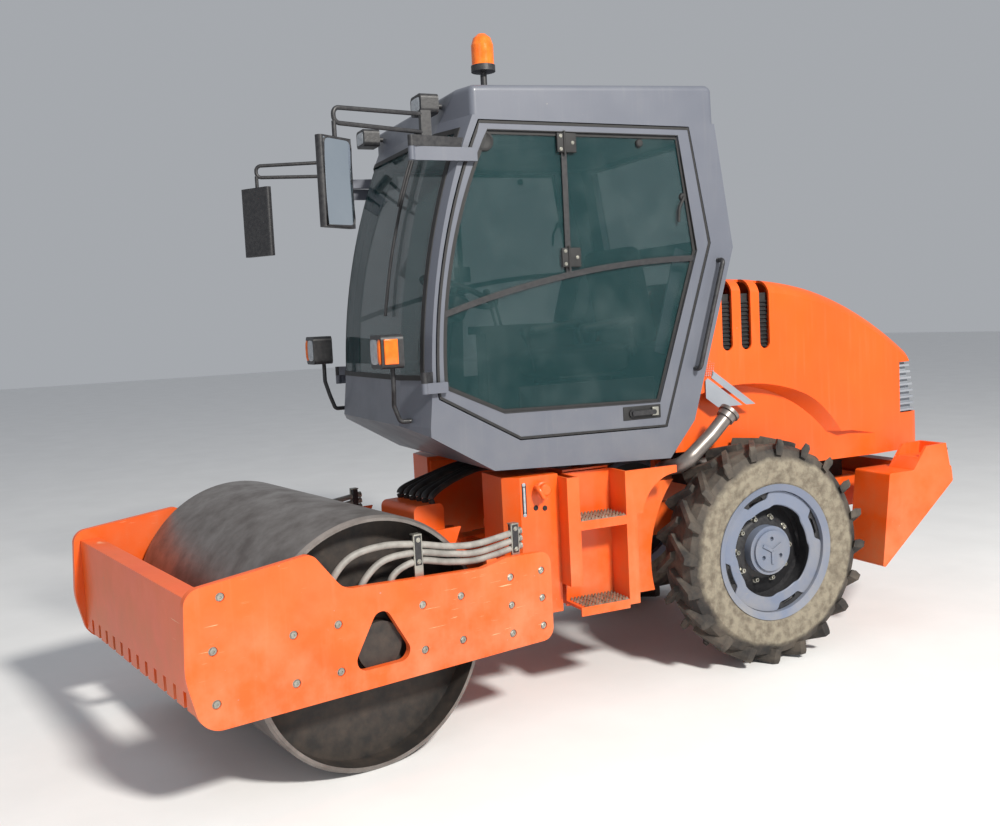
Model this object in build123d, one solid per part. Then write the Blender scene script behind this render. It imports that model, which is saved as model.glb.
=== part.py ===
from build123d import *
import math
import os

# A compact articulated road roller with one smooth drum, two lugged tyres and a cab.
# It looks towards -Y, its left side is +X and Z is up. All sizes are in millimetres.
# The vertical steering pin stands at x = 0, y = 0 while the pieces are made.

# Layout
pivot_to_axle = 1100      # steering pin to the rear axle, and to the drum's axle
steer_at_rest = 11        # degrees the drum frame is turned to the left as it stands
running_gap = 0.3         # between a piece and the one that carries it on a pin or rod
axis_height = 620         # height of the oscillation bearing's axis

# Drum
drum_width = 1370
drum_radius = 495
drum_shell = 22
drum_head_inset = 95      # drum edge to the closing head
drum_head = 16
drum_stub_radius = 150
drum_stub_length = 60

# Drum frame
plate_gap = 35            # drum edge to the side plate
plate_thickness = 30
plate_bottom = 350
plate_front = 760         # drum axle to the plate's foremost edge
plate_rear = 818          # drum axle to the plate's rear edge
plate_front_top = 855
plate_peak = 899
plate_valley = 728
plate_rear_top = 736
bolt_radius = 17          # of the sunk seat round each frame bolt
bolt_sink = 6
bolt_rows = (444, 622)    # heights of the two rows of frame bolts
bolt_offsets = (182, 360) # drum axle to the bolts of each row
window_half = 125         # rounded triangular hand hole, half its base
window_bottom = 424
window_top = 658
window_round = 42
beam_front = 719          # drum axle to the bumper's face
beam_bottom = 405
beam_top = 812
beam_depth = 82
beam_wall = 14
beam_shelf = beam_bottom + 80
scraper_gap = 6
slot_count = 12
slot_width = 32
slot_height = 62
hose_radius = 13.5
cross_front = 512         # drum axle to the rear cross beam
cross_depth = 50
cross_bottom = 400
cross_top = 735
upright_place = 392       # machine's centre to the upright plates on the cross beam
housing_top = 885         # of the hose housing on the cross beam's middle
neck_radius = 105
neck_rear = 310           # steering pin to the neck's rear face

# Steering joint
hub_radius = 62
hub_height = 150
lug_thickness = 34
lug_radius = 85
pin_radius = 32
yoke_flange = 24
yoke_flange_radius = 118

# Tyres and rims
track_half = 635          # machine centre to the tyre's centre
tyre_width = 240
tyre_radius = 540         # to the tips of the lugs
lug_height = 30
lug_count = 20
rim_seat_radius = 305
rim_flange_radius = 327
rim_wall = 12
hub_drum_radius = 118
tyre_clearance = 45       # lug tips to the frame's arches
hub_inner = 55            # tyre's centre to the hub's inner face
hub_face = 62             # tyre's centre to the hub's outer face
rim_ring_radius = 246     # inner edge of the ring that closes the rim outside
rim_notch_width = 84
rim_notch_depth = 56

# Rear frame
rail_half = 290
rail_width = 55
rail_bottom = 612
rail_top = 770
frame_front = 80
frame_plate_depth = 130   # bearing axis to the front plate's lower edge
frame_rear = 2180
tank_half = 620
tank_inner = 352
tank_carrier = 16
tank_front = -240
tank_rear = 6
tank_bottom = 405
tank_top = 1022
tank_corner = 60
step_outer = 705
step_front = 66
step_rear = 300
upper_tread = 812
lower_tread = 430
tread_thickness = 12
wall = 8
step_inner = step_outer - 150
foot_pin_radius = 14.95
lug_reach = 37            # bearing axis to the cylinder lugs' inner faces, clear of the barrels
lug_plate = 14
eye_radius = 26

# Engine
engine_half = 240
engine_top = 1420

# Exhaust pipe
pipe_radius = 35
pipe_gate = (648, 974)    # where it passes over the frame's side plate, y and z

# Rear weight
weight_half = 720
weight_wing = 480         # machine's centre to the inner face of each side block
weight_front = 1848
weight_rear = 2285
weight_foot = 345
weight_top = 835
hitch_y = 2312            # tow pin of the rear hitch
hitch_height = 745
hitch_half = 48
hitch_jaw = 60
hitch_plate = 20
hitch_pin_radius = 16

# Cab
cab_half = 620
cab_wall = 45
screen_half = 416
corner_depth = 70
cab_foot = 1030           # lowest edge of the cab's floor
seam_height = 2565        # where the roof begins
floor_top = 1150
glass = 6
door_gap = 5
door_thickness = 38

# Hood
hood_half = 550
hood_axis_y = 1010
hood_axis_height = 1800
hood_eye_radius = 18
hood_post_x = 180
hood_lower_half = 485
hood_wall = 12
hood_foot = 900              # lowest edge of the hood
hood_rear = 2370
vent_width = 60


def block(x0, x1, y0, y1, z0, z1):
    """A box between two corners."""
    return Pos((x0 + x1) / 2, (y0 + y1) / 2, (z0 + z1) / 2) * Box(x1 - x0, y1 - y0, z1 - z0)


def across(face, x0, x1):
    """A side outline (y, z) made solid from x0 to x1."""
    return Pos(x0, 0, 0) * extrude(Plane.YZ * face, x1 - x0)


def upward(face, z0, z1):
    """A plan outline (x, y) made solid from z0 to z1."""
    return Pos(0, 0, z0) * extrude(face, z1 - z0)


def bar_x(x0, x1, y, z, radius):
    """A round bar along X."""
    return Pos((x0 + x1) / 2, y, z) * Rot(0, 90, 0) * Cylinder(radius, abs(x1 - x0))


def bar_y(y0, y1, x, z, radius):
    """A round bar along Y."""
    return Pos(x, (y0 + y1) / 2, z) * Rot(90, 0, 0) * Cylinder(radius, abs(y1 - y0))


def bar_z(z0, z1, x, y, radius):
    """A round bar along Z."""
    return Pos(x, y, (z0 + z1) / 2) * Cylinder(radius, abs(z1 - z0))


def outline(points, radii):
    """A closed flat outline with rounded corners."""
    return make_face(FilletPolyline(*points, radius=radii, close=True))


def mirrored(solid):
    """The same piece on the machine's other side."""
    return mirror(solid, about=Plane.YZ)


def both_sides(solid):
    return solid + mirrored(solid)


def bent_tube(points, radii, radius, wall_thickness=None):
    """A round tube, or a bar, along straight runs joined by arcs."""
    path = FilletPolyline(*points, radius=radii)
    start = Plane(origin=path @ 0, z_dir=path % 0)
    tube = sweep(start * Circle(radius), path=path)
    if wall_thickness:
        tube -= sweep(start * Circle(radius - wall_thickness), path=path)
    return tube


# Drum and its frame, made with the frame straight ahead

drum_y = -pivot_to_axle
plate_inner = drum_width / 2 + plate_gap
plate_outer = plate_inner + plate_thickness


def drum():
    half = drum_width / 2
    edge_round = 10
    section = Polyline(
        (0, half - drum_head_inset),
        (drum_stub_radius, half - drum_head_inset),
        (drum_stub_radius, half - drum_head_inset + drum_stub_length),
        (drum_stub_radius + 40, half - drum_head_inset + drum_stub_length),
        (drum_stub_radius + 60, half - drum_head_inset),
        (drum_radius - drum_shell, half - drum_head_inset),
        (drum_radius - drum_shell, half),
        (drum_radius - edge_round, half),
        (drum_radius, half - edge_round),
        (drum_radius, 0),
        (drum_radius - drum_shell, 0),
        (drum_radius - drum_shell, half - drum_head_inset - drum_head),
        (0, half - drum_head_inset - drum_head),
        close=True,
    )
    half_drum = revolve(Plane.XZ * make_face(section), Axis.Z)
    whole = half_drum + mirror(half_drum, about=Plane.XY)
    return Pos(0, drum_y, drum_radius) * Rot(0, 90, 0) * whole


def plate_outline():
    """Side view of a side plate: each corner with the radius of its arc."""
    front = drum_y - plate_front
    rear = drum_y + plate_rear
    corners = (
        (front + 15, plate_front_top - 4, 60), (drum_y - 270, plate_peak + 3, 50), (drum_y - 150, plate_valley + 20, 90),
        (drum_y + 470, plate_valley - 14, 60), (drum_y + 590, plate_rear_top + 1, 40), (rear, plate_rear_top - 8, 55),
        (rear, plate_bottom, 52), (front + 50, plate_bottom, 95), (front, plate_bottom + 210, 300))
    return outline([(y, z) for y, z, radius in corners], [radius for y, z, radius in corners])


def side_plate():
    plate = across(plate_outline(), plate_inner, plate_outer)
    window = outline(
        [
            (drum_y - window_half - 20, window_bottom),
            (drum_y + window_half + 20, window_bottom),
            (drum_y, window_top + 20),
        ],
        window_round,
    )
    plate -= across(window, plate_inner - 1, plate_outer + 1)
    for y, z in plate_bolts():
        plate -= bar_x(plate_outer - bolt_sink, plate_outer + 1, y, z, bolt_radius)
    return plate


def plate_bolts():
    """Places of the recessed frame bolts on a side plate."""
    places = [(drum_y + side * offset, z) for side in (-1, 1) for offset in bolt_offsets for z in bolt_rows]
    places += [(drum_y - 657, z) for z in (bolt_rows[0], 630)]
    places += [(drum_y - 619, 812)]
    places += [(drum_y + y, z) for y in (606, 766) for z in (416, 535, 652)]
    return places


def front_beam():
    """The bumper: a folded face with a row of slots, closed by its top plate."""
    y0 = drum_y - beam_front
    half = plate_inner - running_gap
    beam = block(-half, half, y0, y0 + beam_wall, beam_bottom, beam_top)
    beam += block(-half, half, y0, y0 + beam_depth, beam_top - beam_wall, beam_top)
    beam += block(-half, half, y0, y0 + beam_depth, beam_shelf, beam_shelf + beam_wall)
    pitch = 2 * half / (slot_count + 1)
    for i in range(slot_count):
        x = -half + pitch * (i + 1)
        beam -= block(x - slot_width / 2, x + slot_width / 2, y0 - 1, y0 + beam_wall + 1,
                      beam_bottom - 1, beam_bottom + slot_height)
    end = block(half - beam_wall, half, y0, y0 + beam_depth, beam_bottom, beam_top)
    return beam + both_sides(end)


def rear_crossbeam():
    """Rear cross beam with the oscillation bearing's neck."""
    y0 = drum_y + cross_front
    y1 = y0 + cross_depth
    half = plate_inner - running_gap
    beam = block(-half, half, y0, y1, cross_bottom, cross_top)
    beam -= block(-half + 30, -180, y0 - 1, y1 - 14, cross_bottom + 14, cross_top - 14)
    beam -= block(180, half - 30, y0 - 1, y1 - 14, cross_bottom + 14, cross_top - 14)
    beam += bar_y(y0, -neck_rear, 0, axis_height, neck_radius)
    gusset = make_face(Polyline((y1 - 1, axis_height + 60), (y1 - 1, cross_top), (-neck_rear - 60, axis_height + 60),
                                close=True))
    beam += across(gusset, -12, 12)
    upright = make_face(Polyline((y0 + 2, cross_top - 2), (y0 - 65, cross_top + 10), (y0 - 100, cross_top + 68),
                                 (y0 - 100, cross_top + 85), (y1 + 40, cross_top + 85), (y1, cross_top - 2),
                                 close=True))
    beam += both_sides(across(upright, upright_place, upright_place + 12))
    housing = block(-150, 150, y0 + 5, y1 + 115, cross_top - 60, housing_top)
    return beam + fillet(housing.edges().filter_by(Axis.X), 30)


def drum_mounts():
    """Round carrier inside each side plate that holds the drum's stub in its bearing."""
    stub_face = drum_width / 2 - drum_head_inset + drum_stub_length
    disc = bar_x(stub_face + running_gap, stub_face + 30, drum_y, drum_radius, drum_stub_radius + 30)
    disc += bar_x(stub_face + 29, plate_inner - running_gap, drum_y, drum_radius, 95)
    for angle in (45, 135, 225, 315):
        y = drum_y + 200 * math.cos(math.radians(angle))
        z = drum_radius + 150 * math.sin(math.radians(angle))
        disc += bar_x(stub_face + 30, plate_inner - running_gap, y, z, 26)
    arm = Pos(stub_face + 24, drum_y, drum_radius) * Box(12, 440, 340)
    disc += arm
    return both_sides(disc)


def scrapers():
    """Scraper bars across the drum's foot, front and rear, each with two brackets to its beam."""
    angle = math.radians(-18)
    reach = drum_radius + scraper_gap
    z = drum_radius + reach * math.sin(angle)
    half = drum_width / 2 - 10
    bars = []
    for side in (-1, 1):
        y = drum_y + side * reach * math.cos(angle)
        blade = Polyline((y, z - 4), (y + side * 60, z + 22), (y + side * 60, z + 34), (y, z + 8), close=True)
        bars.append(across(make_face(blade), -half, half))
        foot = y + side * 56
        for x in (-420, 420):
            if side < 0:
                shelf = drum_y - beam_front + beam_depth + running_gap
                bars.append(block(x - 30, x + 30, shelf, foot, z + 22, z + 34))
                bars.append(block(x - 30, x + 30, shelf, shelf + 12, z + 22, beam_shelf + beam_wall))
            else:
                bars.append(block(x - 30, x + 30, drum_y + cross_front, foot, z + 26, cross_bottom - running_gap))
    return bars[0] + bars[1:]


def drum_hoses():
    """Two hydraulic hoses a side that rise from the drum's carrier, with the two clamps that hold them."""
    x = drum_width / 2 + 6 + hose_radius
    carrier = drum_width / 2 - drum_head_inset + drum_stub_length + 30 + running_gap
    end = drum_y + 663
    upper = [(-190, 640), (-190, 760), (-80, 866), (36, 871), (193, 853), (481, 807), (663, 824)]
    lower = [(-60, 640), (-60, 735), (40, 812), (193, 820), (481, 772), (663, 792)]
    pieces = []
    for run in (upper, lower):
        path = [(carrier, drum_y + run[0][0], run[0][1])] + [(x, drum_y + y, z) for y, z in run]
        pieces.append(bent_tube(path, [18] + [60] * (len(run) - 2), hose_radius))
    for y, top in ((drum_y + 193, 892), (end, 862)):
        strap = block(x - 17, x + 17, y - 14, y + 14, top - 96, top)
        foot = block(plate_inner - running_gap - 12, plate_inner - running_gap, y - 18, y + 18, plate_valley - 60, top)
        pieces += [strap, foot]
    return both_sides(pieces[0] + pieces[1:])


def yoke():
    """Steering yoke: a hub on the pin and a flange that turns on the neck."""
    hub = bar_z(axis_height - hub_height / 2, axis_height + hub_height / 2, 0, 0, hub_radius)
    arm = block(-50, 50, -neck_rear + 20, 0, axis_height - 60, axis_height + 60)
    flange = bar_y(-neck_rear + running_gap, -neck_rear + running_gap + yoke_flange, 0, axis_height,
                   yoke_flange_radius)
    body = hub + arm + flange
    body -= bar_z(axis_height - hub_height, axis_height + hub_height, 0, 0, pin_radius + 0.05)
    for side in (-1, 1):
        for z in (axis_height - lug_reach - lug_plate, axis_height + lug_reach):
            ear = bar_z(z, z + lug_plate, side * cylinder_eye[0], cylinder_eye[1], eye_radius)
            arm = block(min(0, side * cylinder_eye[0]), max(0, side * cylinder_eye[0]), cylinder_eye[1] - eye_radius,
                        cylinder_eye[1] + eye_radius, z, z + lug_plate)
            body += ear + arm
    return body


# Steering cylinders

cylinder_foot = (200, 170)    # pin on the rear frame, x and y
cylinder_eye = (175, -215)    # pin on the yoke
cylinder_rod_length = 234     # rod end inside the barrel to the eye
barrel_length = 253
cylinder_height = axis_height
barrel_radius = 32
cylinder_rod_radius = 16


def turned(point, degrees):
    """A plan point turned about the steering pin."""
    a = math.radians(degrees)
    return (point[0] * math.cos(a) - point[1] * math.sin(a), point[0] * math.sin(a) + point[1] * math.cos(a))


def cylinder_line(side):
    """Foot, eye, direction in degrees and length of one steering cylinder as it stands."""
    foot = (side * cylinder_foot[0], cylinder_foot[1])
    eye = turned((side * cylinder_eye[0], cylinder_eye[1]), steer_at_rest)
    dx = eye[0] - foot[0]
    dy = eye[1] - foot[1]
    return foot, eye, math.degrees(math.atan2(dy, dx)), math.hypot(dx, dy)


def steer_cylinder(side):
    """Barrel and rod of one steering cylinder, made along X and laid in place."""
    foot, eye, direction, length = cylinder_line(side)
    place = Pos(foot[0], foot[1], cylinder_height) * Rot(0, 0, direction)
    eye = lug_reach - 1
    barrel = bar_x(40, barrel_length, 0, 0, barrel_radius) + bar_x(10, 41, 0, 0, 18) + bar_z(-eye, eye, 0, 0, eye_radius)
    barrel -= bar_x(48, barrel_length + 1, 0, 0, cylinder_rod_radius + running_gap)
    barrel -= bar_z(-eye - 1, eye + 1, 0, 0, foot_pin_radius + 0.05)
    rod = bar_x(length - cylinder_rod_length, length - 20, 0, 0, cylinder_rod_radius)
    rod += bar_z(-eye, eye, length, 0, eye_radius)
    return place * barrel, place * rod


# Wheels

axle_y = pivot_to_axle


def tyre(side):
    """A tractor tyre: round casing and slanted lugs that reach from the shoulder to the middle."""
    carcass = tyre_radius - lug_height
    half = tyre_width / 2
    section = Polyline(
        (rim_seat_radius, 92), (rim_seat_radius + 30, 108), (rim_seat_radius + 90, half),
        (carcass - 70, half), (carcass - 18, half - 22), (carcass, half - 60),
        (carcass, -half + 60), (carcass - 18, -half + 22), (carcass - 70, -half),
        (rim_seat_radius + 90, -half), (rim_seat_radius + 30, -108), (rim_seat_radius, -92), close=True)
    casing = revolve(Plane.XZ * make_face(section), Axis.Z)
    lugs = []
    for i in range(lug_count):
        for hand in (1, -1):
            turn = 360 / lug_count * (i + (0.25 if hand > 0 else -0.25))
            lugs.append(Rot(0, 0, turn) * tyre_lug(hand))
    casing = casing + lugs
    return Pos(side * track_half, axle_y, tyre_radius) * Rot(0, 90, 0) * casing


def tyre_lug(hand):
    """One lug, in the tyre's own frame: Z is the axle and +X points out through the lug."""
    carcass = tyre_radius - lug_height
    half = tyre_width / 2
    thick = 17
    sweep_back = 92
    low = carcass - 16
    top = tyre_radius - 3
    points = []
    for along, lift in ((-6, 0), (half * 0.98, 1)):
        back = sweep_back * (along + 6) / half
        for radius, width in ((low, thick + 4), (top - 8 * lift, thick - 3)):
            points.append((radius, back - width, hand * along))
            points.append((radius, back + width, hand * along))
    shoulder = carcass - 52
    for width in (-thick, thick):
        points.append((shoulder, sweep_back + width, hand * (half + 5)))
        points.append((top - 26, sweep_back + width, hand * (half + 5)))
    return ConvexPolyhedron(points)


def rim(side):
    """Steel rim: the bed, a dished disc deep inside, an outer ring with four notches, and the hub in its middle."""
    well = rim_seat_radius - 45
    section = Polyline(
        (rim_flange_radius, 110), (rim_flange_radius, 104), (rim_seat_radius - running_gap, 92),
        (rim_seat_radius - running_gap, 60), (well, 30), (well, -30),
        (rim_seat_radius - running_gap, -60), (rim_seat_radius - running_gap, -92), (rim_flange_radius, -104),
        (rim_flange_radius, -110), (rim_seat_radius - rim_wall, -98), (rim_seat_radius - rim_wall, -64),
        (well - rim_wall, -34), (well - rim_wall, 34), (rim_seat_radius - rim_wall, 64),
        (rim_seat_radius - rim_wall, 98), close=True)
    bed = revolve(Plane.XZ * make_face(section), Axis.Z)
    disc = Polyline((hub_drum_radius - 6, hub_face - 60), (hub_drum_radius + 25, hub_face - 66), (well - 40, -34),
                    (well - 6, -34), (well - 6, -22), (well - 36, -22), (hub_drum_radius + 25, hub_face - 52),
                    (hub_drum_radius - 6, hub_face - 46), close=True)
    bed += revolve(Plane.XZ * make_face(disc), Axis.Z)
    ring = Cylinder(rim_seat_radius - rim_wall + 4, 10) - Cylinder(rim_ring_radius, 10)
    for i in range(4):
        notch = Box(rim_notch_depth, rim_notch_width, 12)
        notch = fillet(notch.edges().filter_by(Axis.Z), 14)
        ring -= Rot(0, 0, 90 * i + 20) * Pos(rim_ring_radius, 0, 0) * notch
    bed += Pos(0, 0, 70) * ring
    hub = bar_z(-hub_inner, hub_face, 0, 0, hub_drum_radius) + bar_z(hub_face - 1, hub_face + 12, 0, 0, 98)
    for i in range(3):
        hub += Rot(0, 0, 120 * i) * Pos(32, 0, hub_face + 15) * Box(60, 14, 8)
        hub -= Rot(0, 0, 120 * i + 60) * Pos(58, 0, hub_face + 6) * Cylinder(11, 14)
    whole = bed + hub
    return Pos(side * track_half, axle_y, tyre_radius) * Rot(0, 90 * side, 0) * whole


# Rear frame


def chassis():
    """Welded rear frame: two rails, cross plates, pin lugs, tank carriers and the hood's posts."""
    rail = block(rail_half, rail_half + rail_width, frame_front, frame_rear, rail_bottom, rail_top)
    body = both_sides(rail)
    side = rail_half + 1
    front = block(-side, side, frame_front, frame_front + 30, axis_height - frame_plate_depth, rail_top - 10)
    for hand in (-1, 1):
        low, high = sorted((hand * 105, hand * (rail_half - 5)))
        front -= block(low, high, frame_front - 1, frame_front + 31, axis_height - lug_reach, axis_height + lug_reach)
    body += front
    for y in (700, 1500, frame_rear - 40):
        body += block(-side, side, y, y + 40, rail_bottom, rail_top - 20)
    lug_plan = make_face(Polyline((-lug_radius, 0), (-lug_radius - 60, frame_front + 5),
                                  (lug_radius + 60, frame_front + 5), (lug_radius, 0), close=True))
    lug = upward(lug_plan, 0, lug_thickness) + bar_z(0, lug_thickness, 0, 0, lug_radius)
    upper = axis_height + hub_height / 2 + running_gap
    lower = axis_height - hub_height / 2 - running_gap - lug_thickness
    body += Pos(0, 0, upper) * lug
    body += Pos(0, 0, lower) * lug
    body += bar_z(lower, upper + lug_thickness + 12, 0, 0, pin_radius)
    for hand in (-1, 1):
        x = hand * cylinder_foot[0]
        for z in (axis_height - lug_reach - lug_plate, axis_height + lug_reach):
            body += block(min(x - eye_radius * hand, hand * side), max(x - eye_radius * hand, hand * side),
                          frame_front + 29, cylinder_foot[1] + eye_radius + 6, z, z + lug_plate)
        body += bar_z(axis_height - lug_reach - 1, axis_height + lug_reach + 1, x, cylinder_foot[1], foot_pin_radius)
    inner = tank_inner - tank_carrier
    carrier = block(inner, tank_inner - running_gap, tank_front + 15, step_rear, tank_bottom + 20, tank_top - 20)
    skirt = block(inner, step_inner - running_gap, step_front, step_rear, tank_bottom, tank_top)
    skirt -= block(inner - 1, step_inner + 1, step_front + wall, step_rear - wall, tank_bottom - 1, tank_top - wall)
    body += both_sides(carrier + skirt + arch_plate(step_inner - 15, step_inner - running_gap, step_rear - 1,
                                                    tank_bottom, pipe_gate[1] - pipe_radius - 20))
    x = hood_post_x
    y = hood_axis_y + 20
    post = block(x, x + 40, y, y + 40, rail_top - 41, hood_axis_height)
    post += block(x, rail_half + 1, y, y + 40, rail_top - 40, rail_top)
    post += bar_x(x, x + 40, hood_axis_y, hood_axis_height, hood_eye_radius)
    post += block(x, x + 40, hood_axis_y, y + 1, hood_axis_height - hood_eye_radius, hood_axis_height)
    return body + both_sides(post)


def arch_plate(x0, x1, y0, z0, z1):
    """An upright plate that runs back to an arc round the wheel."""
    plate = block(x0, x1, y0, axle_y, z0, z1)
    return plate - bar_x(x0 - 1, x1 + 1, axle_y, tyre_radius, tyre_radius + tyre_clearance)


def side_tank():
    """Tank beside the steering joint, with a chamfered front corner."""
    plan = make_face(Polyline(
        (tank_inner, tank_front), (tank_half - tank_corner, tank_front), (tank_half, tank_front + tank_corner),
        (tank_half, tank_rear), (tank_inner, tank_rear), close=True))
    return upward(plan, tank_bottom, tank_top)


def hydraulic_tank():
    tank = side_tank()
    tank -= block(tank_half - 4, tank_half + 1, -172, -150, 850, 995)
    tank += bar_x(tank_half, tank_half + 30, -80, 965, 26)
    return tank


def step_unit():
    """Two treads between the flanges of the step recess."""
    inner = step_inner
    unit = block(inner, step_outer, step_front - 60, step_front, 530, tank_top - 12)
    unit -= block(inner - 1, step_outer - 12, step_front - 48, step_front - 12, 529, tank_top)
    unit += block(inner, step_outer, step_rear, step_rear + 12, tank_bottom, tank_top - 12)
    unit += block(step_outer - 12, step_outer, step_rear, step_rear + 55, tank_bottom, tank_top - 12)
    for z in (upper_tread, lower_tread):
        unit += block(inner, step_outer, step_front - 13, step_rear + 1, z - tread_thickness, z)
        unit += block(step_outer - 8, step_outer, step_front - 13, step_rear + 1, z - 40, z)
    unit += block(inner, inner + 10, step_front - 13, step_rear + 1, tank_bottom, tank_top - 12)
    brace_rear = step_rear + 275
    brace = block(step_outer - 12, step_outer, step_rear + 54, brace_rear, upper_tread, tank_top - 12)
    brace -= bar_x(step_outer - 13, step_outer + 1, brace_rear + 5, upper_tread - 30, 195)
    return unit + brace


def rear_weight():
    """Ballast block behind the wheels, with its slanted underside and the hitch."""
    side = outline([(weight_front - 60, weight_foot), (weight_rear, weight_top - 81), (weight_rear - 11, weight_top),
                    (weight_front, weight_top)], [12, 12, 12, 12])
    body = across(side, -weight_half, weight_half)
    upper = make_face(Polyline((weight_rear - 275, weight_top - 1), (weight_rear - 185, weight_top + 115),
                               (weight_rear - 46, weight_top + 120), (weight_rear - 20, weight_top - 1), close=True))
    tray = make_face(Polyline((weight_rear - 245, weight_top + 60), (weight_rear - 150, weight_top + 200),
                              (weight_rear - 50, weight_top + 200), (weight_rear - 75, weight_top + 60), close=True))
    body += both_sides(across(upper, weight_half - 170, weight_half) - across(tray, weight_half - 155, weight_half - 15))
    body -= block(-weight_wing, weight_wing, weight_front - 250, weight_rear - 105, weight_foot - 50, weight_top + 65)
    for z in (hitch_height - hitch_jaw / 2 - hitch_plate, hitch_height + hitch_jaw / 2):
        body += block(-hitch_half, hitch_half, 2200, hitch_y, z, z + hitch_plate)
        body += bar_z(z, z + hitch_plate, 0, hitch_y, hitch_half)
    body -= bar_z(hitch_height - hitch_jaw, hitch_height + hitch_jaw, 0, hitch_y, hitch_pin_radius)
    return body


def rear_axle():
    """Axle casing: a swollen middle and two tubes, with the pads that carry the rails."""
    end = track_half - hub_inner - running_gap
    half = Polyline((0, 0), (0, 150), (70, 140), (150, 62), (end, 55), (end, 0), close=True)
    casing = Plane.XY * revolve(make_face(half), Axis.X)
    casing = casing + mirrored(casing)
    body = Pos(0, axle_y, tyre_radius) * casing
    pad = block(rail_half, rail_half + rail_width, axle_y - 60, axle_y + 60, tyre_radius, rail_bottom - running_gap)
    return body + both_sides(pad)


def engine():
    return block(-engine_half, engine_half, 1180, 1980, rail_top - 20 + running_gap, engine_top)


# Cab

def cab_z(share):
    """Height at a share of the way from the cab's foot up to its roof seam."""
    return cab_foot + share * (seam_height - cab_foot)


front_top = (-385, seam_height)
front_mid = (-566, cab_z(0.629))
front_low = (-627, cab_z(0.271))
nose_low = (-645, cab_z(0.16))
belly_front = (-294, cab_z(0.023))
belly_rear = (603, cab_foot)
rear_low = (744, cab_z(0.108))
rear_bend = (994, cab_z(0.629))
rear_top = (909, seam_height)


def front_curve(z):
    """Place along the machine of the cab's front at a height, on the arc through its three points."""
    (y1, z1), (y2, z2), (y3, z3) = front_top, front_mid, front_low
    d = 2 * (y1 * (z2 - z3) + y2 * (z3 - z1) + y3 * (z1 - z2))
    s1, s2, s3 = y1 * y1 + z1 * z1, y2 * y2 + z2 * z2, y3 * y3 + z3 * z3
    yc = (s1 * (z2 - z3) + s2 * (z3 - z1) + s3 * (z1 - z2)) / d
    zc = (s1 * (y3 - y2) + s2 * (y1 - y3) + s3 * (y2 - y1)) / d
    return yc - math.sqrt((y1 - yc) ** 2 + (z1 - zc) ** 2 - (z - zc) ** 2)


def cab_side(inset):
    """Side outline of the cab below the roof seam, inset by a wall."""
    edge = ThreePointArc(front_top, front_mid, front_low)
    rest = Polyline(front_low, nose_low, belly_front, belly_rear, rear_low, rear_bend, rear_top, front_top)
    face = make_face([edge, rest])
    return offset(face, amount=-inset) if inset else face


def cab_corner(inset):
    """What is cut away outside a front corner, so that it falls back to the door's plane."""
    edge = ThreePointArc(front_top, front_mid, front_low)
    far = nose_low[0] - cab_half
    above = 2 * seam_height
    rest = Polyline(front_low, nose_low, (nose_low[0], 0), (far, 0), (far, above), (front_top[0], above), front_top)
    face = make_face([edge, rest])
    start = Pos(screen_half - inset * 0.6, inset, 0) * (Plane.YZ * face)
    reach = 1.6
    span = (cab_half - screen_half) * reach
    away = (span, corner_depth * reach, 0)
    return extrude(start, amount=math.hypot(away[0], away[1]), dir=away)


def cab_solid(inset):
    body = across(cab_side(inset), -(cab_half - inset), cab_half - inset)
    corner = cab_corner(inset)
    return body - corner - mirrored(corner)


def belt_face():
    """Side view of what lies below the seam between the cab's skirt and its frame."""
    far = 2 * cab_half
    return make_face(Polyline((-far, cab_z(0.205)), (-560, cab_z(0.195)), (-190, cab_z(0.09)), (900, cab_z(0.053)),
                              (far, cab_z(0.053)), (far, 0), (-far, 0), close=True))


def cab_shell():
    room = cab_solid(cab_wall) & block(-cab_half, cab_half, -2 * cab_half, 2 * cab_half, floor_top, seam_height)
    return cab_solid(0) - room


door_shift = corner_depth + 22
door_front_edge = [(p[0] + door_shift, p[1]) for p in (front_top, front_mid, front_low)]


def door_outline(grow=0):
    top, mid, low = door_front_edge
    top = (top[0] + 6, seam_height - 22)
    edge = ThreePointArc(top, mid, low)
    rest = Polyline(low, (-528, cab_z(0.236)), (-163, cab_z(0.104)), (587, cab_z(0.098)), (863, cab_z(0.643)),
                    (763, seam_height - 22), top)
    face = make_face([edge, rest])
    return offset(face, amount=grow) if grow else face


def door_glass_outline(grow=0):
    top = (-250, seam_height - 60)
    low = (-500, cab_z(0.287))
    edge = ThreePointArc(top, (-440, cab_z(0.629)), low)
    rest = Polyline(low, (-488, cab_z(0.259)), (-233, cab_z(0.182)), (554, cab_z(0.174)), (787, cab_z(0.622)),
                    (703, seam_height - 60), top)
    face = make_face([edge, rest])
    return offset(face, amount=grow) if grow else face


screen_bottom = cab_z(0.287)
screen_top = seam_height - 45
screen_edge = cab_half - 48
rear_panes = ((cab_z(0.345), cab_z(0.6)), (cab_z(0.661), seam_height - 65))
rear_pane_half = 470


def cab_frame():
    shell = cab_shell() - across(belt_face(), -cab_half - 1, cab_half + 1)
    opening = across(door_outline(door_gap), cab_half - cab_wall - 10, cab_half + 10)
    shell = shell - opening - mirrored(opening)
    shell -= block(-screen_edge, screen_edge, nose_low[0] - 50, -150, screen_bottom, screen_top)
    for z0, z1 in rear_panes:
        shell -= block(-rear_pane_half, rear_pane_half, 650, 1100, z0, z1)
    for arm in hinge_brackets():
        shell += both_sides(arm)
    return shell


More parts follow.
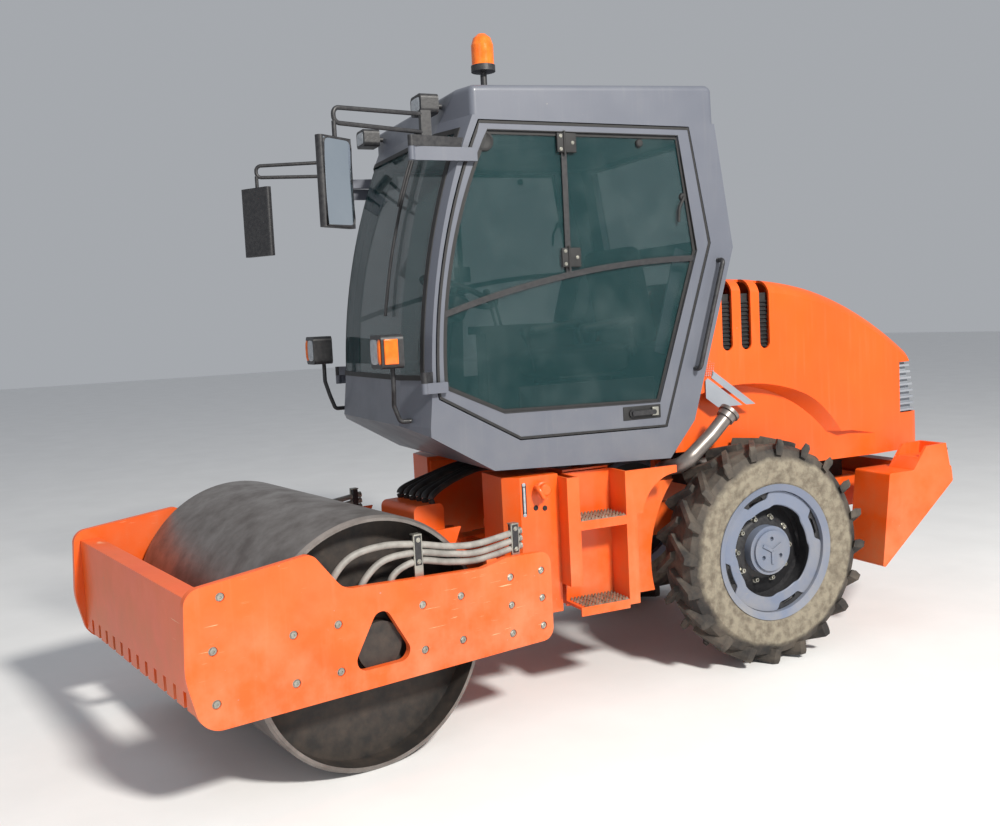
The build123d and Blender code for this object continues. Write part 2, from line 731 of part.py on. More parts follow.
def hinge_brackets():
    """Brackets on a front pillar that stand over the door's two hinge eyes."""
    ears = []
    for z0, z1, pillar in door_hinges:
        plan = make_face(Polyline((screen_edge + 8, pillar - 4), (cab_half - 8, pillar + 10), (hinge_x + 14, hinge_y),
                                  (hinge_x - 14, hinge_y), close=True))
        top = z1 + hinge_bracket
        ears.append(upward(plan, z1 + running_gap, top) + bar_z(z1 + running_gap, top, hinge_x, hinge_y, 14))
    return ears


def cab_floor():
    tub = cab_shell() & across(belt_face(), -cab_half - 1, cab_half + 1)
    pads = bar_z(tank_top + running_gap, floor_top - 84, 440, 120, 45)
    pads += bar_z(tank_top + running_gap, floor_top - 84, 440, 250, 45)
    return tub + both_sides(pads)


roof_front = (-345, seam_height + 125)
roof_rear = (880, seam_height + 177)
roof_round = 28


def roof_height(y):
    """Height of the roof's top at a place along the machine."""
    slope = (roof_rear[1] - roof_front[1]) / (roof_rear[0] - roof_front[0])
    return roof_front[1] + (y - roof_front[0]) * slope


def cab_roof():
    side = make_face(Polyline(front_top, roof_front, roof_rear, (rear_top[0] - 4, roof_rear[1] - 17), rear_top,
                              close=True))
    body = across(side, -cab_half, cab_half)
    corner = cab_corner(0)
    body = body - corner - mirrored(corner)
    crown = [edge for edge in body.edges() if edge.center().Z > seam_height + 60]
    return fillet(crown, roof_round)


def windshield():
    pane = cab_solid(4) - cab_solid(4 + glass)
    cut = running_gap
    return pane & block(-screen_edge + cut, screen_edge - cut, nose_low[0] - 50, -150, screen_bottom + cut,
                        screen_top - cut)


def rear_window():
    panes = cab_solid(4) - cab_solid(4 + glass)
    keep = None
    for z0, z1 in rear_panes:
        piece = block(-rear_pane_half + running_gap, rear_pane_half - running_gap, 650, 1100,
                      z0 + running_gap, z1 - running_gap)
        keep = piece if keep is None else keep + piece
    return panes & keep


hinge_x = cab_half + 20
hinge_y = -600
hinge_bracket = 45
bar_place = (113, cab_z(0.56))    # where the door's two glazing bars meet, y and z
bar_width = 26
handle_place = (460, cab_z(0.147))
door_hinges = []             # eye's foot and top, and the pillar beside it
for share, tall in ((0.873, 55), (0.253, 44)):
    place = front_curve(cab_z(share) + tall)
    door_hinges.append((cab_z(share), cab_z(share) + tall, place + corner_depth + 4))


def door_frame():
    """Door leaf with its window cut, and the two arms that reach forward to the hinge eyes."""
    leaf = across(door_outline(), cab_half - door_thickness, cab_half)
    leaf -= across(door_glass_outline(), cab_half - 100, cab_half + 100)
    for z0, z1, pillar in door_hinges:
        leaf += bar_z(z0, z1, hinge_x, hinge_y, 14)
        leaf += block(hinge_x - 6, hinge_x + 6, hinge_y, pillar + 55, z0, z1)
        leaf += block(cab_half - 10, hinge_x + 6, pillar + 35, pillar + 55, z0, z1)
    return leaf + door_dividers() + door_handle()


def door_dividers():
    """Glazing bars on the door's window: a bent one across and an upright above it."""
    y, z = bar_place
    low = (-488, z - 150)
    high = (787, z + 60)
    half = bar_width / 2
    upper = ThreePointArc((low[0], low[1] + half), (y, z + half), (high[0], high[1] + half))
    lower = ThreePointArc((high[0], high[1] - half), (y, z - half), (low[0], low[1] - half))
    ends = [Line(upper @ 1, lower @ 0), Line(lower @ 1, upper @ 0)]
    level = make_face([upper, lower] + ends)
    outside = cab_half - 20 + glass + running_gap
    bars = across(level, outside, outside + 8)
    return bars + block(outside, outside + 8, y - half, y + half, z, seam_height - 40)


def door_handle():
    """A lever on a boss in the door's lower rear corner."""
    y, z = handle_place
    boss = bar_x(cab_half - 1, cab_half + 14, y - 60, z, 17)
    lever = block(cab_half + 13, cab_half + 24, y - 68, y + 60, z - 11, z + 11)
    return boss + fillet(lever.edges().filter_by(Axis.X), 10)


def door_glass():
    return across(door_glass_outline(-running_gap), cab_half - 20, cab_half - 20 + glass)


# Fittings in and on the cab

def seat():
    base = block(-150, 150, 300, 580, floor_top + running_gap, 1421)
    cushion = block(-240, 240, 230, 690, 1420, 1520)
    cushion = fillet(cushion.edges().filter_by(Axis.Z) + cushion.edges().group_by(Axis.Z)[-1], 35)
    back = across(outline([(590, 1500), (690, 1500), (800, 2040), (730, 2040)], [10, 10, 30, 30]), -220, 220)
    return base + cushion + back


def steering_column():
    foot = floor_top + running_gap
    column = across(make_face(Polyline((-300, foot), (-190, foot), (-170, 1800), (-210, 1800), close=True)), -60, 60)
    wheel = Pos(0, -170, 1850) * Rot(-25, 0, 0) * (Torus(180, 13) + Box(360, 24, 10) + Cylinder(35, 30))
    stem = Pos(0, -180, 1822) * Rot(-25, 0, 0) * Cylinder(22, 70)
    return column + wheel + stem


def operator_console():
    return block(-420, -290, 100, 620, floor_top + running_gap, 1640) + block(-430, -270, 60, 600, 1639, 1680)


mirror_turns = {1: 33, -1: 125}     # way each glass faces, in degrees from +X towards +Y
mirror_size = (34, 185, 345)
mirror_arm = ((cab_half - 20, hinge_y + 80), (cab_half + 102, hinge_y - 341))


def mirrors():
    """Two mirrors on bent double arms, clamped on the upper hinge brackets."""
    base = door_hinges[0][1] + hinge_bracket + running_gap
    (x0, y0), (x1, y1) = mirror_arm
    pieces = []
    for side in (1, -1):
        low, high = base + 18, base + 92
        arm = bent_tube([(side * x0, y0, high), (side * x1, y1, high - 12), (side * x1, y1, low + 4),
                         (side * x0, y0, low)], [26, 26], 9)
        arm += block(side * x0 - 14, side * x0 + 14, y0 - 22, y0 + 22, base, high + 14)
        stem = bar_z(low - 60, low + 10, side * x1, y1, 9)
        turn = mirror_turns[side]
        face = Pos(side * x1, y1, low - 50 - mirror_size[2] / 2) * Rot(0, 0, turn)
        head = face * Pos(-mirror_size[0] / 2 + 8, 0, 0) * Box(*mirror_size)
        head = fillet(head.edges().filter_by(Axis.Z), 14)
        pieces.append(arm + stem + head)
    return pieces[0] + pieces[1]


def headlamps():
    """Headlamps on bent arms that stand on the cab's lower front corners."""
    x = screen_half + 84
    reach = front_low[0] - 73
    foot_z = nose_low[1] + 25
    foot_y = front_low[0] + (nose_low[0] - front_low[0]) * (front_low[1] - foot_z) / (front_low[1] - nose_low[1])
    foot_y += corner_depth * (x - 10 - screen_half) / (cab_half - screen_half) - running_gap
    lamp = Pos(x + 40, reach - 20, foot_z + 300) * Box(150, 96, 140)
    lamp = fillet(lamp.edges().filter_by(Axis.Y), 22)
    arm = bent_tube([(x + 40, reach, foot_z + 235), (x + 40, reach, foot_z + 140), (x, reach + 10, foot_z + 70),
                     (x, reach + 35, foot_z), (x, foot_y, foot_z)], [30, 30, 20], 10)
    return both_sides(lamp + arm)


def roof_lamps():
    """Two work lamps on the roof's front edge, and the beacon on its top."""
    x, y, z = screen_half - 16, front_top[0] - 55, seam_height + 75
    lamp = Pos(x, y, z) * Box(130, 80, 84)
    lamp = fillet(lamp.edges().filter_by(Axis.Y), 20)
    lean = (roof_front[0] - front_top[0]) / (roof_front[1] - front_top[1])
    stay = bar_y(y, front_top[0] + (z - 12 - front_top[1]) * lean - running_gap, x, z, 12)
    return both_sides(lamp + stay) + [beacon()]


def beacon():
    x, y = cab_half - 120, -200
    base = roof_height(y + 30) + running_gap
    section = Polyline((0, base), (30, base), (30, base + 8), (14, base + 12), (14, base + 70), (52, base + 74),
                       (52, base + 100), (48, base + 104), (48, base + 185), (38, base + 215), (18, base + 232),
                       (0, base + 236), close=True)
    return Pos(x, y, 0) * revolve(Plane.XZ * make_face(section), Axis.Z)


def wiper():
    """Wiper that hangs from its spindle above the windshield."""
    x = 250
    z = seam_height - 23
    spindle = bar_y(front_curve(z) - 40, front_curve(z - 14) - running_gap, x, z, 14)
    heights = (z, z - 162, z - 312)
    arm = bent_tube([(x, front_curve(h) - 26, h) for h in heights], [900], 6)
    blade_heights = (z - 62, z - 292, z - 542, z - 792)
    blade = bent_tube([(x, front_curve(h) - 16, h) for h in blade_heights], [2000, 2000], 7)
    return spindle + arm + blade


def exhaust_pipe():
    """Pipe from the engine's side that comes out behind the cab and ends in a flanged neck."""
    x = cab_half + 44
    start = engine_half + running_gap
    y, z = pipe_gate
    path = [(start, 1250, z - 20), (395, 1250, z - 20), (405, y + 7, z - 30), (x, y - 8, z + 26), (x, y + 57, z + 74),
            (x, y + 152, z + 146), (x, y + 257, z + 242)]
    bends = [70, 90, 70, 50, 60]
    tip = Plane(origin=path[-1], z_dir=Vector(*path[-1]) - Vector(*path[-2]))
    pipe = bent_tube(path, bends, pipe_radius)
    pipe += tip * (Pos(0, 0, -18) * Cylinder(pipe_radius + 9, 30) + Pos(0, 0, 5) * Cylinder(pipe_radius + 17, 16))
    return pipe - bent_tube(path, bends, pipe_radius - 4) - tip * Cylinder(pipe_radius - 4, 40)


def grab_handles():
    foot = cab_half + running_gap
    low, high = cab_z(0.265), cab_z(0.59)
    handle = bent_tube([(foot, 755, low), (foot + 42, 755, low), (foot + 42, 905, high), (foot, 905, high)],
                       [20, 20], 11)
    return both_sides(handle)


# Hood


hood_flat = 983              # crown is level up to here, then falls
hood_rise = 52               # crown above the hood's axis
hood_fall = (839, 158)       # so far behind the flat, the crown is so much lower
hood_shoulder = 85
hood_bend = 1500             # sides run straight back to here, then draw in
hood_draw = 120              # how much each side draws in by the tail
hood_sections = (600, 983, 1150, 1300, 1428, 1560, 1700, 1822, 1960, 2098, 2200, 2300, 2440)
hood_tail = hood_half - hood_draw
hood_lip = hood_foot + 130   # the hood's lower edge in front of the wheels
arch_outer = (axle_y + 5, tyre_radius - 182, 981)     # crease over the wheel: middle and radius at the hood's side
arch_inner = (axle_y - 90, tyre_radius - 80, 872)     # and where the slanted face meets the fender
grille_bottom = hood_axis_height - 700
grille_top = hood_axis_height - 425
grille_reach = 175           # how far the grille runs round the tail's corners
vent_foot = hood_axis_height - 265


def crown_height(y):
    """Height of the hood's crown at a place along the machine."""
    behind = max(0, y - hood_flat)
    return hood_axis_height + hood_rise - hood_fall[1] * (behind / hood_fall[0]) ** 2.2


def hood_width(y):
    """Half width of the hood at a place along the machine."""
    return hood_half - max(0, y - hood_bend) * hood_draw / (hood_rear + 25 - hood_bend)


def hood_side(inset):
    """Side outline that trims the hood's body. Its room, inset by the wall, runs out at the front and foot."""
    above = hood_axis_height + 150
    rear = ((hood_rear - 170 - inset, above), (hood_rear - 130 - inset, hood_axis_height - 290),
            (hood_rear - 45 - inset, hood_axis_height - 591), (hood_rear - inset, hood_foot))
    if inset:
        below = hood_foot - 200
        return make_face(Polyline((500, below), (500, above), *rear, (rear[-1][0], below), close=True))
    return make_face(Polyline((722, hood_lip), (1000, above), *rear, (1500, hood_foot), (1350, hood_lip), close=True))


def hood_body(inset):
    """The hood as if it were full: rounded sections along the machine, trimmed by its side and plan outlines."""
    sections = []
    for y in hood_sections:
        half = hood_width(y) - inset + 3
        top = crown_height(y) - inset
        corner = hood_shoulder - inset
        section = outline([(-half, 500), (half, 500), (half, top), (-half, top)], [1, 1, corner, corner])
        sections.append(Plane(origin=(0, y, 0), x_dir=(1, 0, 0), z_dir=(0, -1, 0)) * section)
    front = 500 if inset else 650
    tail = hood_rear + 25 - inset
    wide = hood_half - inset
    narrow = hood_tail - inset
    plan = outline([(-wide, front), (wide, front), (wide, hood_bend), (narrow, tail), (-narrow, tail),
                    (-wide, hood_bend)], [0, 0, 900, 140 - inset, 140 - inset, 900])
    return loft(sections) & across(hood_side(inset), -hood_half - 50, hood_half + 50) & upward(plan, 600, 2000)


def hood():
    """Engine hood: a shell open at its front and foot, drawn in above the wheels."""
    body = hood_body(0)
    low = arch_space(0)
    body = body - low - mirrored(low)
    low = arch_space(hood_wall)
    body -= hood_body(hood_wall) - low - mirrored(low)
    for i in range(3):
        y = 1000 + i * 112
        vent = block(hood_half - 95, hood_half + 50, y - vent_width / 2, y + vent_width / 2, vent_foot,
                     hood_axis_height + hood_rise + 20)
        vent += bar_x(hood_half - 95, hood_half + 50, y, vent_foot, vent_width / 2)
        body -= both_sides(vent)
    body -= block(-hood_half, hood_half, hood_rear - grille_reach, hood_rear + 50, grille_bottom, grille_top)
    x = hood_post_x + 40 + running_gap
    ear = bar_x(x, x + 14, hood_axis_y, hood_axis_height, hood_eye_radius)
    ear += block(x, x + 14, hood_axis_y - 15, hood_axis_y + 15, hood_axis_height, hood_axis_height + 42)
    return body + both_sides(ear)


def arch_space(wall_thickness):
    """The room beside the hood's foot that the wheel stands in, with its slanted upper face."""
    x = hood_lower_half - wall_thickness
    far = hood_half + 10
    faces = []
    for place, (y, z, radius) in ((x, arch_inner), (far, arch_outer)):
        faces.append(Pos(place, 0, 0) * (Plane.YZ * (Pos(y, z) * Circle(radius + wall_thickness))))
    back = make_face(Polyline((1500, 0), (1500, hood_foot + 160 + wall_thickness), (1805, hood_foot + 145 + wall_thickness),
                              (hood_rear + 130, hood_foot + 20 + wall_thickness), (hood_rear + 130, 0), close=True))
    return loft(faces) + across(back, x, far)


def hood_grille():
    """Louvred band that runs round the hood's tail between its two corners."""
    band = block(-hood_half, hood_half, hood_rear - grille_reach + running_gap, hood_rear + 50,
                 grille_bottom + running_gap, grille_top - running_gap)
    middle = hood_body(20)
    back = middle - hood_body(28)
    bars = hood_body(3) - middle
    slats = None
    pitch = (grille_top - grille_bottom) / 8
    for i in range(8):
        z = grille_bottom + pitch * i + 8
        slat = block(-hood_half, hood_half, 2000, hood_rear + 50, z, z + 11)
        slats = slat if slats is None else slats + slat
    return band & (back + (bars & slats))


# Assembly


def build():
    """Every node by name, in the machine's own frame with the steering pin at the origin."""
    straight = {
        "drum": drum(),
        "side_plate_left": side_plate(),
        "side_plate_right": mirrored(side_plate()),
        "front_beam": front_beam(),
        "rear_crossbeam": rear_crossbeam(),
        "drum_mounts": drum_mounts(),
        "scrapers": scrapers(),
        "drum_hoses": drum_hoses(),
        "yoke": yoke(),
    }
    nodes = {name: Rot(0, 0, steer_at_rest) * piece for name, piece in straight.items()}
    for side, hand in ((1, "left"), (-1, "right")):
        nodes["steer_barrel_" + hand], nodes["steer_rod_" + hand] = steer_cylinder(side)
        nodes["tyre_" + hand] = tyre(side)
        nodes["rim_" + hand] = rim(side)
    nodes["chassis"] = chassis()
    nodes["hydraulic_tank"] = hydraulic_tank()
    nodes["fuel_tank"] = mirrored(side_tank())
    nodes["step_left"] = step_unit()
    nodes["step_right"] = mirrored(step_unit())
    nodes["rear_weight"] = rear_weight()
    nodes["rear_axle"] = rear_axle()
    nodes["engine"] = engine()
    nodes["cab_floor"] = cab_floor()
    nodes["cab_frame"] = cab_frame()
    nodes["cab_roof"] = cab_roof()
    nodes["windshield"] = windshield()
    nodes["rear_window"] = rear_window()
    nodes["door_left"] = door_frame()
    nodes["door_right"] = mirrored(door_frame())
    nodes["door_glass_left"] = door_glass()
    nodes["door_glass_right"] = mirrored(door_glass())
    nodes["seat"] = seat()
    nodes["steering_column"] = steering_column()
    nodes["operator_console"] = operator_console()
    nodes["mirrors"] = mirrors()
    nodes["headlamps"] = headlamps()
    nodes["roof_lamps"] = roof_lamps()
    nodes["wiper"] = wiper()
    nodes["exhaust_pipe"] = exhaust_pipe()
    nodes["grab_handles"] = grab_handles()
    nodes["hood"] = hood()
    nodes["hood_grille"] = hood_grille()
    return nodes


def shift(nodes):
    """The move that puts the middle of the whole machine's footprint at the origin."""
    boxes = [piece.bounding_box() for piece in nodes.values()]
    x = (min(b.min.X for b in boxes) + max(b.max.X for b in boxes)) / 2
    y = (min(b.min.Y for b in boxes) + max(b.max.Y for b in boxes)) / 2
    return Pos(-x, -y, 0)


def main():
    os.makedirs("parts", exist_ok=True)
    nodes = build()
    move = shift(nodes)
    for name, piece in nodes.items():
        export_step(move * piece, "parts/" + name + ".step")


if __name__ == "__main__":
    main()
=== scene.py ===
import math
import bpy
import bmesh
import numpy as np
from mathutils import Matrix, Vector


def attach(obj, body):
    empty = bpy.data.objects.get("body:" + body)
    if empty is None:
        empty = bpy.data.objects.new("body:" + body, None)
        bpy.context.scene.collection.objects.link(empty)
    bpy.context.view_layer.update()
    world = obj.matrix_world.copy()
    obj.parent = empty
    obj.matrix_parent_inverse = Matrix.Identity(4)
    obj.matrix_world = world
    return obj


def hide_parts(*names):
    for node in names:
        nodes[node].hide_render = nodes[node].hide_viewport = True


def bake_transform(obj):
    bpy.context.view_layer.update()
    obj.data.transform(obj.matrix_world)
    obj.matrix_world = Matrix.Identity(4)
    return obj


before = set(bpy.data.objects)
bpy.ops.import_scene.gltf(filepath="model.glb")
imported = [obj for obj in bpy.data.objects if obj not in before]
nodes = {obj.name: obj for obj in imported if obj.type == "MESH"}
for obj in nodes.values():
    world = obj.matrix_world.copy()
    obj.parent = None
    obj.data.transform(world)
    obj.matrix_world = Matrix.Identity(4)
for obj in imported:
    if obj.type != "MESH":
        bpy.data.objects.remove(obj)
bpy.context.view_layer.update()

scene = bpy.context.scene
print("roller: frame loaded,", len(nodes), "nodes")

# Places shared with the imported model, in metres: the steering pin, the drum's axle and its frame's turn
machine = {"pinX": -0.146958, "pinY": -0.201427, "steerTurn": math.radians(11), "axleY": 1.1, "axleZ": 0.54,
           "drumY": -1.1, "drumZ": 0.495, "trackHalf": 0.635}


def rear(x, y, z):
    # A point of the rear frame measured from the steering pin, moved to the row's own origin
    return np.stack(np.broadcast_arrays(x + machine["pinX"], y + machine["pinY"], z), axis=-1)


def front(x, y, z):
    # A point of the straight drum frame, turned about the steering pin by the steering angle at rest
    c, s = math.cos(machine["steerTurn"]), math.sin(machine["steerTurn"])
    return rear(x * c - y * s, x * s + y * c, z)


# Mesh making: every shape is a list of (points, faces, material number) until it is finished


def unit(vectors):
    # Each vector divided by its length
    return vectors / np.maximum(np.linalg.norm(vectors, axis=-1, keepdims=True), 1e-12)


def grid(points, closeU=False, closeV=False, mat=0):
    # Quads between neighbours of an (nu, nv, 3) array, joined round where a direction is closed
    nu, nv = points.shape[:2]
    u, v = np.meshgrid(np.arange(nu if closeU else nu - 1), np.arange(nv if closeV else nv - 1),
                       indexing="ij")
    u, v = u.ravel(), v.ravel()
    u2, v2 = (u + 1) % nu, (v + 1) % nv
    faces = np.stack([u * nv + v, u2 * nv + v, u2 * nv + v2, u * nv + v2], axis=1)
    return [(points.reshape(-1, 3), faces.tolist(), mat)]


def spin(profile, centre, axis, count=48, mat=0):
    # centre + along * axis + radius * (cos t * e1 + sin t * e2) for a profile of (radius, along) pairs
    profile, axis = np.asarray(profile, float), unit(np.asarray(axis, float))
    e1 = unit(np.cross(axis, (0.0, 0.31, 0.95)))
    e2 = np.cross(axis, e1)
    t = np.linspace(0, 2 * math.pi, count, endpoint=False)[None, :, None]
    ring = np.cos(t) * e1 + np.sin(t) * e2
    points = np.asarray(centre, float) + profile[:, 1, None, None] * axis + profile[:, 0, None, None] * ring
    return grid(points, closeV=True, mat=mat)


def smoothPath(points, steps=8):
    # Catmull-Rom: a cubic for each span, whose end slopes are half the difference of the neighbours
    p = np.asarray(points, float)
    p = np.vstack([2 * p[0] - p[1], p, 2 * p[-1] - p[-2]])
    t = np.linspace(0, 1, steps, endpoint=False)[None, :, None]
    a, b, c, d = p[:-3, None], p[1:-2, None], p[2:-1, None], p[3:, None]
    line = 0.5 * (2 * b + (c - a) * t + (2 * a - 5 * b + 4 * c - d) * t ** 2 + (3 * b - a - 3 * c + d)
                  * t ** 3)
    return np.vstack([line.reshape(-1, 3), p[-2]])


def roundCorners(points, radius, steps=6):
    # Straight runs joined by quadratic arcs that start and end at a radius from each corner
    p = np.asarray(points, float)
    out = [p[:1]]
    t = np.linspace(0, 1, steps)[:, None]
    for before, corner, after in zip(p[:-2], p[1:-1], p[2:]):
        reach = min(radius, 0.48 * np.linalg.norm(corner - before), 0.48 * np.linalg.norm(after - corner))
        a = corner + unit(before - corner) * reach
        b = corner + unit(after - corner) * reach
        out.append((1 - t) ** 2 * a + 2 * t * (1 - t) * corner + t ** 2 * b)
    return np.vstack(out + [p[-1:]])


def tube(path, radius, sides=12, mat=0, closed=False):
    # path + radius * (cos t * n + sin t * b), n and b square to the path's slope; ends drawn to a point
    path = np.asarray(path, float)
    slope = unit(np.roll(path, -1, 0) - np.roll(path, 1, 0) if closed else np.gradient(path, axis=0))
    ref = np.array((0.0, 0.0, 1.0)) if np.abs(slope[:, 2]).mean() < 0.75 else np.array((0.93, 0.36, 0.0))
    n = unit(np.cross(slope, ref))
    b = np.cross(slope, n)
    t = np.linspace(0, 2 * math.pi, sides, endpoint=False)[None, :, None]
    r = np.broadcast_to(np.asarray(radius, float), len(path))[:, None, None]
    points = path[:, None] + r * (np.cos(t) * n[:, None] + np.sin(t) * b[:, None])
    if closed:
        return grid(points, True, True, mat)
    caps = [np.repeat(path[:1, None], sides, 1), np.repeat(path[-1:, None], sides, 1)]
    return grid(np.concatenate([caps[0], points, caps[1]]), closeV=True, mat=mat)


def softBox(size, radius, place, turn=None, steps=4, mat=0):
    # corner of the inner box in each octant + radius * direction, over a sphere's two angles
    half = np.asarray(size, float) / 2
    radius = min(radius, half.min() * 0.999)
    quarter = np.linspace(0, math.pi / 2, steps + 1)
    u = np.concatenate([quarter + k * math.pi / 2 for k in range(4)])
    signX = np.repeat([1.0, -1.0, -1.0, 1.0], steps + 1)
    signY = np.repeat([1.0, 1.0, -1.0, -1.0], steps + 1)
    v = np.concatenate([quarter - math.pi / 2, quarter])
    signZ = np.repeat([-1.0, 1.0], steps + 1)
    inner = half - radius
    cosV, sinV = np.cos(v)[:, None], np.sin(v)[:, None]
    x = signX * inner[0] + radius * np.cos(u) * cosV
    y = signY * inner[1] + radius * np.sin(u) * cosV
    z = signZ[:, None] * inner[2] + radius * sinV + 0 * u
    points = np.stack([x, y, z], axis=-1)
    if turn is not None:
        points = points @ np.asarray(turn, float).T
    points = points + np.asarray(place, float)
    shapes = grid(points, closeV=True, mat=mat)
    n = len(u)
    corner = [k * (steps + 1) for k in range(4)]
    last = (len(v) - 1) * n
    shapes[0][1].extend([corner[::-1], [last + k for k in corner]])
    return shapes


def turned(axis, degrees):
    # Rotation matrix about the axis of that number: 0, 1 or 2
    a, b = (axis + 1) % 3, (axis + 2) % 3
    c, s = math.cos(math.radians(degrees)), math.sin(math.radians(degrees))
    matrix = np.eye(3)
    matrix[[a, b], [a, b]] = c
    matrix[b, a], matrix[a, b] = s, -s
    return matrix


def prism(loop, lift):
    # The outline loop (n, 3) carried along the vector lift, closed by a flat face at each end
    loop = np.asarray(loop, float)
    shapes = grid(np.stack([loop, loop + np.asarray(lift, float)]), closeV=True)
    n = len(loop)
    shapes[0][1].extend([list(range(n))[::-1], [n + k for k in range(n)]])
    return shapes


def makePiece(name, shapes, materials, body, smooth=40, replace=(), modifiers=()):
    # All shapes in one mesh; doubles merged, faces turned outwards, edges sharper than the angle kept
    # crisp. A piece made with no body is left unattached
    start, verts, faces, mats = 0, [], [], []
    for points, quads, mat in shapes:
        verts.append(np.asarray(points, float).reshape(-1, 3))
        faces.extend([[start + k for k in q] for q in quads])
        mats.extend([mat] * len(quads))
        start += len(verts[-1])
    mesh = bpy.data.meshes.new(name)
    mesh.from_pydata(np.vstack(verts).tolist(), [], faces)
    mesh.polygons.foreach_set("material_index", np.asarray(mats, dtype=np.int32))
    work = bmesh.new()
    work.from_mesh(mesh)
    bmesh.ops.remove_doubles(work, verts=work.verts, dist=2e-5)
    bmesh.ops.dissolve_degenerate(work, edges=work.edges, dist=1e-5)
    bmesh.ops.recalc_face_normals(work, faces=work.faces)
    work.to_mesh(mesh)
    work.free()
    for material in materials:
        mesh.materials.append(material)
    mesh.polygons.foreach_set("use_smooth", np.ones(len(mesh.polygons), dtype=bool))
    mesh.set_sharp_from_angle(angle=math.radians(smooth))
    piece = bpy.data.objects.new(name, mesh)
    scene.collection.objects.link(piece)
    for kind, values in modifiers:
        added = piece.modifiers.new(kind.title(), kind)
        for key, value in values.items():
            setattr(added, key, value)
    if body:
        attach(piece, body)
    if replace:
        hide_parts(*replace)
    return piece


# Materials: a base colour, patches of dust or wear, fine grain in the roughness and the bump


def newMaterial(name):
    # An empty material with its node tree, its shader and the object coordinates
    material = bpy.data.materials.new(name)
    material.use_nodes = True
    tree = material.node_tree
    coords = addNode(tree, "ShaderNodeTexCoord").outputs["Object"]
    return material, tree, tree.nodes["Principled BSDF"], coords


def addNode(tree, kind, **values):
    # A node with these values, each an input's name or a setting's name
    node = tree.nodes.new(kind)
    for key, value in values.items():
        if key in node.inputs:
            node.inputs[key].default_value = value
        else:
            setattr(node, key, value)
    return node


def ramped(tree, value, low, high):
    # 0 at low, 1 at high and even between; low may be the larger of the two
    ramp = addNode(tree, "ShaderNodeMapRange")
    ramp.inputs["From Min"].default_value = low
    ramp.inputs["From Max"].default_value = high
    tree.links.new(value, ramp.inputs["Value"])
    return ramp.outputs["Result"]


def noiseMask(tree, coords, scale, low, high, detail=4.0, stretch=(1, 1, 1), rough=0.6):
    # A noise of this scale on stretched object coordinates, cut to 0 below low and 1 above high
    mapping = addNode(tree, "ShaderNodeMapping")
    mapping.inputs["Scale"].default_value = stretch
    tree.links.new(coords, mapping.inputs["Vector"])
    noise = addNode(tree, "ShaderNodeTexNoise", Scale=scale, Detail=detail, Roughness=rough)
    tree.links.new(mapping.outputs["Vector"], noise.inputs["Vector"])
    return ramped(tree, noise.outputs["Fac"], low, high)


def mixColour(tree, factor, first, second):
    # Colour first where the factor is 0 and second where it is 1
    mix = addNode(tree, "ShaderNodeMix", data_type="RGBA")
    if isinstance(factor, float):
        mix.inputs[0].default_value = factor
    else:
        tree.links.new(factor, mix.inputs[0])
    for value, socket in ((first, mix.inputs[6]), (second, mix.inputs[7])):
        if isinstance(value, tuple):
            socket.default_value = (*value, 1.0)
        else:
            tree.links.new(value, socket)
    return mix.outputs[2]


def scaled(tree, value, amount, extra=0.0):
    # value * amount + extra
    node = addNode(tree, "ShaderNodeMath", operation="MULTIPLY_ADD")
    tree.links.new(value, node.inputs[0])
    node.inputs[1].default_value = amount
    node.inputs[2].default_value = extra
    return node.outputs[0]


def product(tree, first, second):
    # first * second
    node = addNode(tree, "ShaderNodeMath", operation="MULTIPLY")
    tree.links.new(first, node.inputs[0])
    tree.links.new(second, node.inputs[1])
    return node.outputs[0]


def bump(tree, shader, height, strength, distance):
    # The height drives the shader's normal
    node = addNode(tree, "ShaderNodeBump", Strength=strength, Distance=distance)
    tree.links.new(height, node.inputs["Height"])
    tree.links.new(node.outputs["Normal"], shader.inputs["Normal"])


def heightMask(tree, coords, low, high):
    # 1 at the height low, falling to 0 at high
    split = addNode(tree, "ShaderNodeSeparateXYZ")
    tree.links.new(coords, split.inputs[0])
    return ramped(tree, split.outputs[2], high, low)


bareMetal = (0.30, 0.27, 0.24)
scratchTone = (0.86, 0.55, 0.33)


